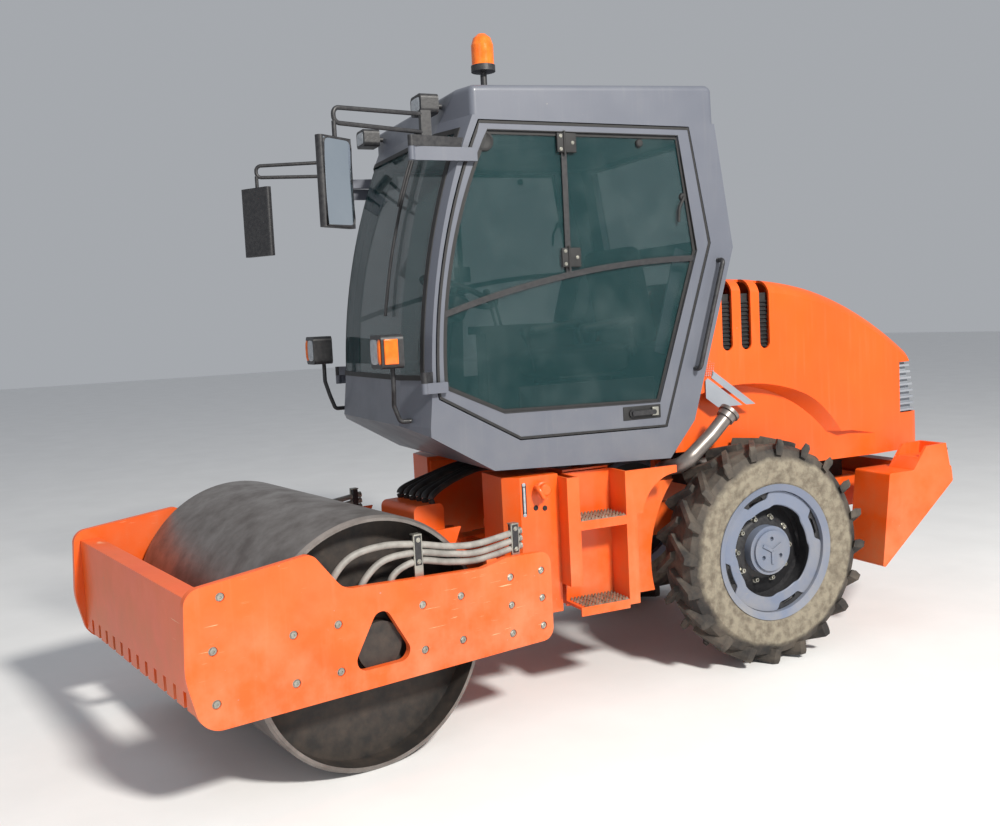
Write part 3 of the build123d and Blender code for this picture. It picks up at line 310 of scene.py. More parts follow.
def paint(name, base, shade, dust, rough, dustTop, wear=0.0, coat=0.0, scratches=0.0):
    # Paint that varies slowly between two tones, with dust towards the ground, chips and long scratches
    material, tree, shader, coords = newMaterial(name)
    tone = noiseMask(tree, coords, 1.6, 0.35, 0.7, detail=3.0)
    colour = mixColour(tree, tone, base, shade)
    patch = noiseMask(tree, coords, 5.5, 0.38, 0.72, detail=6.0)
    low = heightMask(tree, coords, 0.15, dustTop)
    colour = mixColour(tree, scaled(tree, product(tree, patch, low), 0.75), colour, dust)
    streak = noiseMask(tree, coords, 7.0, 0.55, 0.9, detail=3.0, stretch=(5, 5, 0.35))
    colour = mixColour(tree, scaled(tree, streak, 0.16), colour, dust)
    roughness = scaled(tree, patch, 0.16, rough)
    if wear:
        chips = noiseMask(tree, coords, 46.0, 0.735 - wear * 0.08, 0.76, detail=5.0)
        colour = mixColour(tree, chips, colour, bareMetal)
    if scratches:
        lines = noiseMask(tree, coords, 9.0, 0.70, 0.745, detail=2.5, stretch=(0.4, 0.9, 26), rough=0.45)
        gate = noiseMask(tree, coords, 2.2, 0.5, 0.62, detail=2.0)
        colour = mixColour(tree, scaled(tree, product(tree, lines, gate), scratches), colour, scratchTone)
    tree.links.new(colour, shader.inputs["Base Color"])
    tree.links.new(roughness, shader.inputs["Roughness"])
    bump(tree, shader, noiseMask(tree, coords, 160.0, 0.2, 0.8, detail=2.0), 0.06, 0.002)
    shader.inputs["Specular IOR Level"].default_value = 0.5
    shader.inputs["Coat Weight"].default_value = coat
    shader.inputs["Coat Roughness"].default_value = 0.12
    return material


def plain(name, base, second, rough, scale, metallic=0.0, bumpSize=0.0, spread=0.12):
    # Two tones mixed by one noise, with the same noise in the roughness and the bump
    material, tree, shader, coords = newMaterial(name)
    mask = noiseMask(tree, coords, scale, 0.35, 0.7, detail=5.0)
    tree.links.new(mixColour(tree, mask, base, second), shader.inputs["Base Color"])
    tree.links.new(scaled(tree, mask, spread, rough), shader.inputs["Roughness"])
    shader.inputs["Metallic"].default_value = metallic
    if bumpSize:
        bump(tree, shader, mask, 0.35, bumpSize)
    return material


tyreWall = {"inner": 0.452, "outer": 0.478, "ragged": 0.035}


def tyreMaterial(name, dark, worn, dust, pale):
    # Rubber caked with pale dust on the side wall: full within the inner distance from the axle, none
    # beyond the outer one, with a noise added to the distance so that the edge is ragged
    material, tree, shader, coords = newMaterial(name)
    flatten = addNode(tree, "ShaderNodeMapping")
    flatten.inputs["Location"].default_value = (0, -(machine["axleY"] + machine["pinY"]), -machine["axleZ"])
    flatten.inputs["Scale"].default_value = (0, 1, 1)
    tree.links.new(coords, flatten.inputs["Vector"])
    length = addNode(tree, "ShaderNodeVectorMath", operation="LENGTH")
    tree.links.new(flatten.outputs["Vector"], length.inputs[0])
    edge = addNode(tree, "ShaderNodeMath", operation="MULTIPLY_ADD")
    tree.links.new(noiseMask(tree, coords, 9.0, 0.2, 0.8), edge.inputs[0])
    edge.inputs[1].default_value = tyreWall["ragged"]
    tree.links.new(length.outputs["Value"], edge.inputs[2])
    wall = ramped(tree, edge.outputs[0], tyreWall["outer"], tyreWall["inner"])
    rubber = mixColour(tree, noiseMask(tree, coords, 8.0, 0.38, 0.66, detail=6.0), dark, worn)
    caked = mixColour(tree, noiseMask(tree, coords, 26.0, 0.36, 0.6, detail=6.0), dust, pale)
    tree.links.new(mixColour(tree, wall, rubber, caked), shader.inputs["Base Color"])
    shader.inputs["Roughness"].default_value = 0.8
    bump(tree, shader, noiseMask(tree, coords, 60.0, 0.3, 0.7), 0.4, 0.002)
    return material


def glassMaterial(name, tint, alpha, rough=0.03):
    # Tinted pane: thin alpha, with a faint film of dust that makes it a little less clear
    material, tree, shader, coords = newMaterial(name)
    film = noiseMask(tree, coords, 5.0, 0.45, 0.8, detail=6.0)
    tree.links.new(mixColour(tree, scaled(tree, film, 0.12), tint, (0.30, 0.36, 0.36)),
                   shader.inputs["Base Color"])
    tree.links.new(scaled(tree, film, 0.05, rough), shader.inputs["Roughness"])
    tree.links.new(scaled(tree, film, 0.06, alpha), shader.inputs["Alpha"])
    shader.inputs["Specular IOR Level"].default_value = 0.9
    return material


orangePaint = paint("orangePaint", (0.84, 0.108, 0.005), (0.76, 0.088, 0.004), (0.48, 0.25, 0.12), 0.38,
                    1.2, wear=0.12, coat=0.15)
platePaint = paint("platePaint", (0.84, 0.112, 0.006), (0.74, 0.088, 0.005), (0.52, 0.28, 0.15), 0.40, 1.0,
                   wear=0.35, coat=0.12, scratches=0.9)
greyPaint = paint("greyPaint", (0.125, 0.135, 0.165), (0.105, 0.115, 0.145), (0.24, 0.235, 0.23), 0.40, 1.5,
                  wear=0.1, coat=0.15)
rimPaint = paint("rimPaint", (0.165, 0.195, 0.275), (0.135, 0.165, 0.235), (0.30, 0.28, 0.25), 0.42, 1.0,
                 wear=0.3)
# Black plastic, also laid on the rims' dish as painted shade of its deep cavity
blackPlasticAndShade = plain("blackPlasticAndShade", (0.016, 0.016, 0.019), (0.034, 0.034, 0.036), 0.42, 60.0,
                     bumpSize=0.0008)
sealRubber = plain("sealRubber", (0.010, 0.010, 0.011), (0.022, 0.022, 0.023), 0.6, 40.0, bumpSize=0.0006)
darkSteel = plain("darkSteel", (0.032, 0.030, 0.029), (0.075, 0.060, 0.050), 0.55, 14.0, 0.4, 0.001)
wornSteel = plain("wornSteel", (0.26, 0.235, 0.22), (0.15, 0.13, 0.12), 0.36, 9.0, 0.7, 0.0006)
zincSteel = plain("zincSteel", (0.46, 0.45, 0.40), (0.28, 0.28, 0.25), 0.36, 12.0, 0.8, 0.0006)
tyreRubber = tyreMaterial("tyreRubber", (0.022, 0.020, 0.019), (0.095, 0.078, 0.062), (0.135, 0.112, 0.083),
                          (0.25, 0.22, 0.165))
hoseRubber = plain("hoseRubber", (0.20, 0.19, 0.175), (0.34, 0.325, 0.30), 0.5, 18.0, 0.0, 0.0006)
blackHose = plain("blackHose", (0.014, 0.014, 0.015), (0.040, 0.036, 0.033), 0.5, 22.0, 0.0, 0.0006)
seatCloth = plain("seatCloth", (0.012, 0.012, 0.014), (0.030, 0.030, 0.034), 0.85, 180.0, 0.0, 0.0015)
amberLens = plain("amberLens", (0.80, 0.13, 0.012), (0.88, 0.20, 0.02), 0.12, 30.0, 0.0, 0.0008)
redLens = plain("redLens", (0.50, 0.012, 0.010), (0.62, 0.02, 0.015), 0.12, 30.0, 0.0, 0.0008)
clearLens = plain("clearLens", (0.30, 0.33, 0.36), (0.46, 0.49, 0.52), 0.08, 55.0, 0.0, 0.002)
mirrorFace = plain("mirrorFace", (0.70, 0.78, 0.84), (0.78, 0.85, 0.90), 0.03, 3.0, 1.0, spread=0.03)
stripePaint = plain("stripePaint", (0.24, 0.26, 0.30), (0.30, 0.32, 0.35), 0.38, 4.0)
tintedGlass = glassMaterial("tintedGlass", (0.012, 0.048, 0.052), 0.44)
rustyTread = plain("rustyTread", (0.16, 0.085, 0.05), (0.36, 0.28, 0.22), 0.65, 30.0, 0.5, 0.002)
print("roller: materials made")

finishes = {
    "wornSteel": ("exhaust_pipe", "drum"),
    "platePaint": ("side_plate_left", "side_plate_right", "front_beam"),
    "orangePaint": ("rear_crossbeam", "yoke", "chassis", "hydraulic_tank", "fuel_tank", "step_left",
                    "step_right", "rear_weight", "hood"),
    "darkSteel": ("drum_mounts", "scrapers", "steer_barrel_left", "steer_barrel_right", "rear_axle",
                  "engine"),
    "zincSteel": ("steer_rod_left", "steer_rod_right"),
    "tyreRubber": ("tyre_left", "tyre_right"),
    "rimPaint": ("rim_left", "rim_right"),
    "greyPaint": ("cab_floor", "cab_frame", "cab_roof", "door_left", "door_right"),
    "stripePaint": ("hood_grille",),
    "tintedGlass": ("windshield", "rear_window", "door_glass_left", "door_glass_right"),
    "blackPlasticAndShade": ("steering_column", "operator_console", "mirrors", "headlamps", "roof_lamps", "wiper",
                     "grab_handles"),
    "seatCloth": ("seat",),
    "hoseRubber": ("drum_hoses",)}
for finish, names in finishes.items():
    for name in names:
        nodes[name].data.materials.clear()
        nodes[name].data.materials.append(bpy.data.materials[finish])
print("roller: packed nodes finished")


# Imported nodes that wear more than one finish: the faces picked by their middles get another material,
# which on the rims' dish is painted shade


def faceMiddles(name):
    # Mean of each face's corners, in the row frame
    mesh = nodes[name].data
    points = np.empty(len(mesh.vertices) * 3)
    mesh.vertices.foreach_get("co", points)
    loops = np.empty(len(mesh.loops), dtype=np.int64)
    mesh.loops.foreach_get("vertex_index", loops)
    return points.reshape(-1, 3)[loops.reshape(-1, 3)].mean(axis=1)


def finishFaces(name, finish, pick):
    # pick(x, y, z) says which faces wear the finish, with the place measured from the steering pin
    mesh = nodes[name].data
    middle = faceMiddles(name) - (machine["pinX"], machine["pinY"], 0)
    index = np.empty(len(mesh.polygons), dtype=np.int32)
    mesh.polygons.foreach_get("material_index", index)
    chosen = pick(middle[:, 0], middle[:, 1], middle[:, 2])
    index[chosen] = len(mesh.materials)
    mesh.materials.append(bpy.data.materials[finish])
    mesh.polygons.foreach_set("material_index", index)


def unturned(x, y):
    # A place on the drum frame brought back to the frame standing straight ahead
    c, s = math.cos(machine["steerTurn"]), math.sin(machine["steerTurn"])
    return x * c + y * s, -x * s + y * c


# Bounds of the picked faces: the beacon's dome, the doors' divider bars and handles, the dished part of the
# rims (painted black as painted shade of its deep cavity), the drum's heads and inside, and the hinges'
# roots on the cab
picked = {"domeFoot": 2.797, "domeFront": -0.30, "bar": (0.6055, 0.6145), "barY": (-0.485, 0.79),
          "barFoot": 1.62, "handleX": 0.6205, "handleFront": 0.3, "dish": (0.119, 0.2925),
          "drumInside": 0.4745, "drumHalf": 0.684, "hingeX": 0.622, "hingeRear": -0.44}


def onBar(x, y, z):
    return ((np.abs(x) > picked["bar"][0]) & (np.abs(x) < picked["bar"][1]) & (y > picked["barY"][0])
            & (y < picked["barY"][1]) & (z > picked["barFoot"]))


# The rim's dish between hub and outer plate, whose faces are painted black as painted shade of the cavity
def inShadedDish(x, y, z):
    r = np.hypot(y - machine["axleY"], z - machine["axleZ"])
    return (r > picked["dish"][0]) & (r < picked["dish"][1])


def inDrum(x, y, z):
    x, y = unturned(x, y)
    r = np.hypot(y - machine["drumY"], z - machine["drumZ"])
    return (r < picked["drumInside"]) & (np.abs(x) < picked["drumHalf"])


finishFaces("roof_lamps", "amberLens", lambda x, y, z: (z > picked["domeFoot"]) & (y > picked["domeFront"]))
for hand in ("left", "right"):
    finishFaces("door_" + hand, "blackPlasticAndShade", onBar)
    finishFaces("door_" + hand, "blackPlasticAndShade",
                lambda x, y, z: (np.abs(x) > picked["handleX"]) & (y > picked["handleFront"]))
    # The rims' dish is painted black: painted shade of the deep cavity round the hub
    finishFaces("rim_" + hand, "blackPlasticAndShade", inShadedDish)
finishFaces("drum", "darkSteel", inDrum)
finishFaces("cab_frame", "blackPlasticAndShade",
            lambda x, y, z: (np.abs(x) > picked["hingeX"]) & (y < picked["hingeRear"]))
print("roller: packed nodes with two finishes done")


# Bolts in the side plates: a hexagon head on a washer at the bottom of each recess

plateBolts = {"head": 0.0125, "height": 0.0075, "washer": 0.0158, "face": 0.744, "rows": (0.444, 0.622),
              "offsets": (0.182, 0.360), "frontEdge": ((-0.657, 0.444), (-0.657, 0.630), (-0.619, 0.812)),
              "rearY": (0.606, 0.766), "rearZ": (0.416, 0.535, 0.652)}


def boltPlaces():
    # Two rows of four about the drum, three at the plate's front edge and six at its rear, as (y, z)
    axle = machine["drumY"]
    places = [(axle + s * o, z) for s in (-1, 1) for o in plateBolts["offsets"] for z in plateBolts["rows"]]
    places += [(axle + y, z) for y, z in plateBolts["frontEdge"]]
    return places + [(axle + y, z) for y in plateBolts["rearY"] for z in plateBolts["rearZ"]]


def bolt(place, axis, radius, height, washer, mat=0):
    # Head: a six-sided spin with a bevelled rim and a socket in its face. Washer: a thin round spin
    place, axis = np.asarray(place, float), unit(np.asarray(axis, float))
    floor = height * 0.55
    head = spin([(radius * 0.45, floor), (radius * 0.5, height), (radius * 0.86, height),
                 (radius, height * 0.82), (radius, 0.0)], place, axis, 6, mat)
    socket = spin([(0.0, floor), (radius * 0.45, floor)], place, axis, 6, mat)
    ring = spin([(radius * 0.9, 0.0018), (washer * 0.94, 0.0018), (washer, 0.0010), (washer, 0.0)], place,
                axis, 20, mat)
    return head + socket + ring


outward = front(1, 0, 0) - front(0, 0, 0)
shapes = []
for side in (1, -1):
    for y, z in boltPlaces():
        shapes += bolt(front(side * plateBolts["face"], y, z), side * outward, plateBolts["head"],
                       plateBolts["height"], plateBolts["washer"])
makePiece("plateBolts", shapes, [zincSteel], "drum_frame", 30)
print("roller: plate bolts done")


# Wheels: a ring of nuts on the dished disc and the tyre's valve

wheelNuts = {"nuts": 10, "circle": 0.155, "nut": 0.013, "height": 0.016, "washer": 0.018, "stand": 0.003,
                 "valve": (0.02, -0.20, 0.12), "valveRadius": 0.006}


def wheelSet(side):
    # Nuts and valve about the axle, standing on the disc inside the rim
    centre = rear(side * machine["trackHalf"], machine["axleY"], machine["axleZ"])
    circle, shapes = wheelNuts["circle"], []
    for t in 2 * math.pi * np.arange(wheelNuts["nuts"]) / wheelNuts["nuts"]:
        place = centre + (side * wheelNuts["stand"], math.cos(t) * circle, math.sin(t) * circle)
        shapes += bolt(place, (side, 0, 0), wheelNuts["nut"], wheelNuts["height"], wheelNuts["washer"])
    x, y, z = wheelNuts["valve"]
    foot = centre + (side * x, y, z)
    bend = [foot, foot + (side * 0.03, -0.01, 0.008), foot + (side * 0.055, -0.012, 0.012)]
    return shapes + tube(bend, wheelNuts["valveRadius"], 10)


for side, hand in ((1, "left"), (-1, "right")):
    makePiece("wheelNuts" + hand.title(), wheelSet(side), [zincSteel], "wheel_" + hand, 30)
print("roller: wheel fittings done")


# Cab: outlines of the door, of its glass and of the windshield, as in the machine's side view

cab = {"foot": 1.030, "seam": 2.565, "half": 0.620, "screenHalf": 0.416, "cornerDepth": 0.070,
       "screenEdge": 0.572, "doorGap": 0.022, "glassGap": 0.060}


def cabZ(share):
    # Height at a share of the way from the cab's foot to the roof seam
    return cab["foot"] + share * (cab["seam"] - cab["foot"])


def arcThrough(a, b, c, steps=24):
    # Points on the circle through three points of the side view, from the first to the last
    (y1, z1), (y2, z2), (y3, z3) = a, b, c
    d = 2 * (y1 * (z2 - z3) + y2 * (z3 - z1) + y3 * (z1 - z2))
    s1, s2, s3 = y1 * y1 + z1 * z1, y2 * y2 + z2 * z2, y3 * y3 + z3 * z3
    yc = (s1 * (z2 - z3) + s2 * (z3 - z1) + s3 * (z1 - z2)) / d
    zc = (s1 * (y3 - y2) + s2 * (y1 - y3) + s3 * (y2 - y1)) / d
    first, last = (math.atan2(z - zc, y - yc) % (2 * math.pi) for y, z in (a, c))
    t = np.linspace(first, last, steps)
    radius = math.hypot(y1 - yc, z1 - zc)
    return np.stack([yc + radius * np.cos(t), zc + radius * np.sin(t)], axis=1)


frontArc = arcThrough((-0.385, cab["seam"]), (-0.566, cabZ(0.629)), (-0.627, cabZ(0.271)), 80)


def frontCurve(z):
    # Place along the machine of the cab's front at a height
    return np.interp(z, frontArc[::-1, 1], frontArc[::-1, 0])


def doorLoop():
    # The door's edge: the front's arc moved back past the corner, then straight runs round foot and rear
    shift, top = cab["cornerDepth"] + cab["doorGap"], cab["seam"] - cab["doorGap"]
    arc = arcThrough((-0.379 + shift, top), (-0.566 + shift, cabZ(0.629)), (-0.627 + shift, cabZ(0.271)))
    return np.vstack([arc, [(-0.528, cabZ(0.236)), (-0.163, cabZ(0.104)), (0.587, cabZ(0.098)),
                            (0.863, cabZ(0.643)), (0.763, top)]])


def glassLoop():
    # The pane's edge, inside the door's
    top = cab["seam"] - cab["glassGap"]
    arc = arcThrough((-0.250, top), (-0.440, cabZ(0.629)), (-0.500, cabZ(0.287)))
    return np.vstack([arc, [(-0.488, cabZ(0.259)), (-0.233, cabZ(0.182)), (0.554, cabZ(0.174)),
                            (0.787, cabZ(0.622)), (0.703, top)]])


def strip(loop, x, width, thick):
    # A flat band along a closed outline of the side view: four rails, inwards by the width and out
    slope = unit(np.roll(loop, -1, 0) - np.roll(loop, 1, 0))
    inward = np.stack([-slope[:, 1], slope[:, 0]], axis=1)
    inward *= np.sign(((loop.mean(axis=0) - loop) * inward).sum(axis=1))[:, None]
    inner = loop + inward * width
    rails = [rear(x + out, edge[:, 0], edge[:, 1])
             for out, edge in ((0, loop), (thick, loop), (thick, inner), (0, inner))]
    return grid(np.stack(rails, axis=1), True, True)


# Each seal's outline, distance from the middle of the cab, width inwards and thickness
doorSeals = ((doorLoop(), 0.6195, 0.011, 0.0028), (glassLoop(), 0.6185, -0.003, 0.003),
             (glassLoop(), 0.607, 0.016, 0.004))
for side, hand in ((1, "left"), (-1, "right")):
    shapes = []
    for loop, x, width, thick in doorSeals:
        shapes += strip(loop, side * x, width, side * thick)
    makePiece("doorSeals" + hand.title(), shapes, [sealRubber], "door_" + hand, 30)
print("roller: door seals done")


# Screen: black band round the windshield, laid on the curved front and its two corners

screenPlace = {"low": cabZ(0.287), "high": cab["seam"] - 0.045, "band": 0.022, "lift": 0.0035}


def screenPoint(x, z, lift):
    # Front curve at the height, falling back over the corners, pushed forward by the lift
    past = (np.abs(x) - cab["screenHalf"]) / (cab["half"] - cab["screenHalf"])
    return rear(x, frontCurve(z) + cab["cornerDepth"] * np.clip(past, 0, 1) - lift, z)


def screenBand():
    # Four runs of a flat strip between the pane's edge and a line one band further in
    edge, half, band, lift = cab["screenEdge"], cab["screenHalf"], screenPlace["band"], screenPlace["lift"]
    x = np.concatenate([np.linspace(-edge, -half, 8), np.linspace(half, edge, 8)])
    z = np.linspace(screenPlace["low"], screenPlace["high"], 40)
    shapes = []
    for a, b in ((z[0], z[0] + band), (z[-1] - band, z[-1])):
        rails = [screenPoint(x, np.full_like(x, h), out)
                 for h, out in ((a, 0), (a, lift), (b, lift), (b, 0))]
        shapes += grid(np.stack(rails, axis=1), closeV=True)
    for side in (1, -1):
        rails = [screenPoint(np.full_like(z, side * w), z, out)
                 for w, out in ((edge, 0), (edge, lift), (edge - band, lift), (edge - band, 0))]
        shapes += grid(np.stack(rails, axis=1), closeV=True)
    return shapes


makePiece("screenBand", screenBand(), [sealRubber], "rear_frame", 30)


# Door fittings: hinge pads and knobs on the glass, round vent, lever of the window and the plate round the
# handle

fittings = {"hinges": ((0.113, 2.46), (0.113, 1.965)), "vent": (-0.263, 2.461), "knob": (0.500, 2.468),
            "crank": (0.727, 2.229), "lockPlate": (0.455, 1.2555), "glassFace": 0.606, "padFace": 0.6235,
            "padMiddle": 0.6185, "lockFace": 0.6205, "crankReach": 0.622}
ventProfile = ((0.0, 0.002), (0.026, 0.003), (0.034, 0.008), (0.042, 0.006), (0.045, 0.0))
knobProfile = ((0.0, 0.016), (0.014, 0.015), (0.018, 0.010), (0.018, 0.0))
crankProfile = ((0.0, 0.012), (0.016, 0.010), (0.020, 0.0))


def doorTrim(side):
    # Each fitting stands on the door's outer face; x grows outwards on either side
    out, pad, reach = (side, 0, 0), side * fittings["padFace"], side * fittings["crankReach"]
    shapes = []
    for y, z in fittings["hinges"]:
        shapes += softBox((0.010, 0.095, 0.085), 0.0045, rear(side * fittings["padMiddle"], y + 0.012, z))
        for dy, dz in ((-0.018, -0.028), (-0.018, 0.028), (0.040, 0.0)):
            shapes += bolt(rear(pad, y + dy, z + dz), out, 0.006, 0.004, 0.008, mat=1)
        shapes += tube([rear(pad, y, z - 0.05), rear(pad, y, z + 0.05)], 0.006, 10)
    for name, profile, count in (("vent", ventProfile, 28), ("knob", knobProfile, 20),
                                 ("crank", crankProfile, 18)):
        shapes += spin(profile, rear(side * fittings["glassFace"], *fittings[name]), out, count)
    y, z = fittings["crank"]
    lever = [rear(side * 0.600, y, z), rear(reach, y, z), rear(reach, y - 0.03, z - 0.05),
             rear(reach, y - 0.035, z - 0.115)]
    shapes += tube(roundCorners(lever, 0.02), 0.007, 10)
    y, z = fittings["lockPlate"]
    shapes += softBox((0.006, 0.20, 0.062), 0.0028, rear(side * fittings["lockFace"], y, z))
    shapes += softBox((0.012, 0.034, 0.040), 0.003, rear(side * 0.630, y + 0.065, z + 0.002), mat=1)
    return shapes


for side, hand in ((1, "left"), (-1, "right")):
    makePiece("doorTrim" + hand.title(), doorTrim(side), [sealRubber, zincSteel], "door_" + hand,
              35)
print("roller: door fittings done")


# Lamps: ribbed lenses, amber side lamps and the mirrors' glass

lamps = {"headX": 0.540, "headY": -0.768, "headZ": 1.6006, "roofX": 0.400, "roofY": -0.480, "roofZ": 2.640,
         "lift": 0.003, "rib": 0.0009, "back": 0.004, "headHeight": 0.104}
mirrorPlace = {"x": 0.722, "y": -0.941, "z": 2.2659, "turns": {1: 33, -1: 125}, "width": 0.152,
               "height": 0.330, "face": 0.0092, "rimY": 0.078, "rimZ": 0.166, "rimBack": 0.002,
               "rimRadius": 0.006}


def lens(place, width, height, depth, ribs, mat=0):
    # A pane with a flat back that bulges by (depth + rib * cos(ribs * pi * u)) * (1 - u^4)(1 - v^4)
    u = np.linspace(-1, 1, 33)[:, None]
    v = np.linspace(-1, 1, 21)[None, :]
    lift = (depth + lamps["rib"] * np.cos(u * math.pi * ribs)) * (1 - u ** 4) * (1 - v ** 4)
    squircle = 1 - 0.10 * (u ** 2) * (v ** 2)
    x = place[0] + width / 2 * u * squircle
    z = place[2] + height / 2 * v * squircle
    points = np.stack([x, place[1] - lift, z], axis=-1)
    flat = np.stack([x, np.full_like(x, place[1] + lamps["back"]), z], axis=-1)
    rims = [np.concatenate([p[:, 0], p[-1, 1:], p[-2::-1, -1], p[0, -2:0:-1]]) for p in (points, flat)]
    return grid(points, mat=mat) + grid(flat[::-1], mat=mat) + grid(np.stack(rims), closeV=True, mat=mat)


shapes = []
for side in (1, -1):
    place = rear(side * lamps["headX"], lamps["headY"] - lamps["lift"], lamps["headZ"])
    tall = lamps["headHeight"]
    shapes += lens(place + (side * -0.018, 0, 0), 0.092, tall, 0.006, 9, 0)
    shapes += lens(place + (side * 0.050, 0, 0), 0.030, tall, 0.005, 3, 1)
    shapes += softBox((0.010, 0.060, tall), 0.004, place + (side * 0.077, 0.043, 0), mat=1)
    shapes += lens(rear(side * lamps["roofX"], lamps["roofY"] - lamps["lift"], lamps["roofZ"]),
                   0.098, 0.058, 0.005, 7)
makePiece("lampLenses", shapes, [clearLens, amberLens], "rear_frame", 30)

shapes = []
rimY, rimZ = mirrorPlace["rimY"], mirrorPlace["rimZ"]
mirrorRim = roundCorners([(0, a * rimY, b * rimZ)
                          for a, b in ((-1, -1), (1, -1), (1, 1), (-1, 1), (-1, -1))], 0.03)
for side in (1, -1):
    turn = turned(2, mirrorPlace["turns"][side])
    out = turn @ np.array((1.0, 0, 0))
    place = rear(side * mirrorPlace["x"], mirrorPlace["y"], mirrorPlace["z"]) + mirrorPlace["face"] * out
    shapes += softBox((0.004, mirrorPlace["width"], mirrorPlace["height"]), 0.0018, place, turn)
    shapes += tube(mirrorRim[:-1] @ turn.T + place - mirrorPlace["rimBack"] * out, mirrorPlace["rimRadius"],
                   8, 1, closed=True)
makePiece("mirrorGlass", shapes, [mirrorFace, blackPlasticAndShade], "rear_frame", 40)
print("roller: lamps and mirrors done")


# Steps: toothed treads of folded plate on the two steps of each side

treads = {"heights": (0.812, 0.430), "front": 0.070, "rear": 0.296, "inner": 0.570, "outer": 0.7045,
          "teeth": 13, "rails": 6, "bars": 5, "thick": 0.003, "foot": -0.004, "valley": 0.004,
          "peak": 0.0135}


def toothedRail(x, z, side):
    # A thin upright strip whose top edge rises and falls like a saw: one quad run along the machine
    y = np.linspace(treads["front"], treads["rear"], treads["teeth"] * 4 + 1)
    phase = np.arange(len(y)) % 4
    top = z + np.where((phase == 1) | (phase == 2), treads["peak"], treads["valley"])
    inner, outer, low = side * x, side * (x + treads["thick"]), z + treads["foot"]
    rails = [rear(inner, y, low), rear(outer, y, low), rear(outer, y, top), rear(inner, y, top)]
    shapes = grid(np.stack(rails, axis=1), closeV=True)
    n = len(y) - 1
    shapes[0][1].extend([[3, 2, 1, 0], [n * 4 + k for k in range(4)]])
    return shapes


shapes = []
for side in (1, -1):
    for z in treads["heights"]:
        for x in np.linspace(treads["inner"], treads["outer"] - 0.004, treads["rails"]):
            shapes += toothedRail(x, z, side)
        for y in np.linspace(treads["front"] + 0.02, treads["rear"] - 0.02, treads["bars"]):
            shapes += softBox((treads["outer"] - treads["inner"], 0.006, 0.005), 0.002,
                              rear(side * (treads["outer"] + treads["inner"]) / 2, y, z + 0.003))
makePiece("stepTreads", shapes, [rustyTread], "rear_frame", 20)
print("roller: treads done")


# Tank: sight glass in its slot with a screw above and below, filler with its cap, overflow pipe and two
# small plugs

tank = {"glass": (-0.161, 0.9225), "screws": (0.856, 0.989), "plugs": ((-0.107, 0.882), (-0.063, 0.876)),
        "filler": (0.650, -0.080, 0.965)}
capProfile = ((0.0, 0.030), (0.020, 0.030), (0.026, 0.025), (0.028, 0.004), (0.034, 0.0))
shapes = softBox((0.006, 0.020, 0.142), 0.0025, rear(0.6175, *tank["glass"]))
shapes += softBox((0.004, 0.010, 0.110), 0.0015, rear(0.6210, *tank["glass"]), mat=1)
for z in tank["screws"]:
    shapes += bolt(rear(0.6195, tank["glass"][0], z), (1, 0, 0), 0.0055, 0.004, 0.0085, mat=1)
shapes += spin(capProfile, rear(*tank["filler"]), (1, 0, 0), 24, 2)
overflow = [rear(0.628, -0.105, 0.975), rear(0.668, -0.112, 0.972), rear(0.672, -0.090, 0.930)]
shapes += tube(roundCorners(overflow, 0.02), 0.011, 12, 2)
for y, z in tank["plugs"]:
    shapes += bolt(rear(0.6200, y, z), (1, 0, 0), 0.009, 0.005, 0.012)
makePiece("tankFittings", shapes, [sealRubber, clearLens, orangePaint], "rear_frame", 30)


# Hydraulic hoses: three thick ones with crimped ends along each side of the drum, replacing the plain ones.
# Each run is a list of (y, z) along the plate whose first point lies in the drum's carrier

hosePlace = {"x": 0.7045, "rootX": 0.684, "radius": 0.0135, "crimp": 0.0022, "clampFoot": 0.690,
             "clamps": ((-0.907, 0.892), (-0.437, 0.862)), "screws": (-0.02, -0.105)}
hoseRuns = (
    ((-1.29, 0.64), (-1.29, 0.65), (-1.285, 0.76), (-1.20, 0.848), (-1.064, 0.871), (-0.907, 0.853),
     (-0.76, 0.820), (-0.619, 0.807), (-0.437, 0.824), (-0.40, 0.828)),
    ((-1.16, 0.64), (-1.16, 0.65), (-1.155, 0.735), (-1.06, 0.812), (-0.907, 0.820), (-0.76, 0.790),
     (-0.619, 0.772), (-0.437, 0.792), (-0.40, 0.797)),
    ((-1.04, 0.62), (-1.04, 0.64), (-1.02, 0.745), (-0.907, 0.786), (-0.76, 0.757), (-0.619, 0.741),
     (-0.437, 0.760), (-0.40, 0.765)))
shapes = []
turn = turned(2, math.degrees(machine["steerTurn"]))
for side in (1, -1):
    for run in hoseRuns:
        path = [front(side * (hosePlace["x"] if k else hosePlace["rootX"]), y, z)
                for k, (y, z) in enumerate(run)]
        path = smoothPath(path, 10)
        shapes += tube(path, hosePlace["radius"], 14)
        for a, b in ((path[2], path[12]), (path[-1], path[-9])):
            shapes += tube([a, a + (b - a) * 0.5], hosePlace["radius"] + hosePlace["crimp"], 12, 1)
    for y, high in hosePlace["clamps"]:
        low, x = hosePlace["clampFoot"], hosePlace["x"]
        shapes += softBox((0.010, 0.040, high - low), 0.002, front(side * 0.7137, y, (low + high) / 2),
                          turn, mat=1)
        shapes += softBox((0.034, 0.030, 0.118), 0.004, front(side * x, y, high - 0.062), turn, mat=2)
        shapes += softBox((0.036, 0.036, 0.006), 0.002, front(side * x, y, high), turn, mat=1)
        for dz in hosePlace["screws"]:
            shapes += bolt(front(side * 0.7215, y, high + dz), side * outward, 0.007, 0.005, 0.010, mat=1)
makePiece("drumHoses", shapes, [hoseRubber, zincSteel, blackPlasticAndShade], "drum_frame", 40,
          replace=("drum_hoses",))
print("roller: hoses done")


# Rims: an outer plate with four notches in its rim and a wavy inner edge

rimPlate = {"outer": 0.2915, "inner": 0.222, "notch": 0.036, "wave": 0.014, "place": 0.0765, "thick": 0.007,
            "lip": 0.004, "turn": 20, "halfWidth": 15}


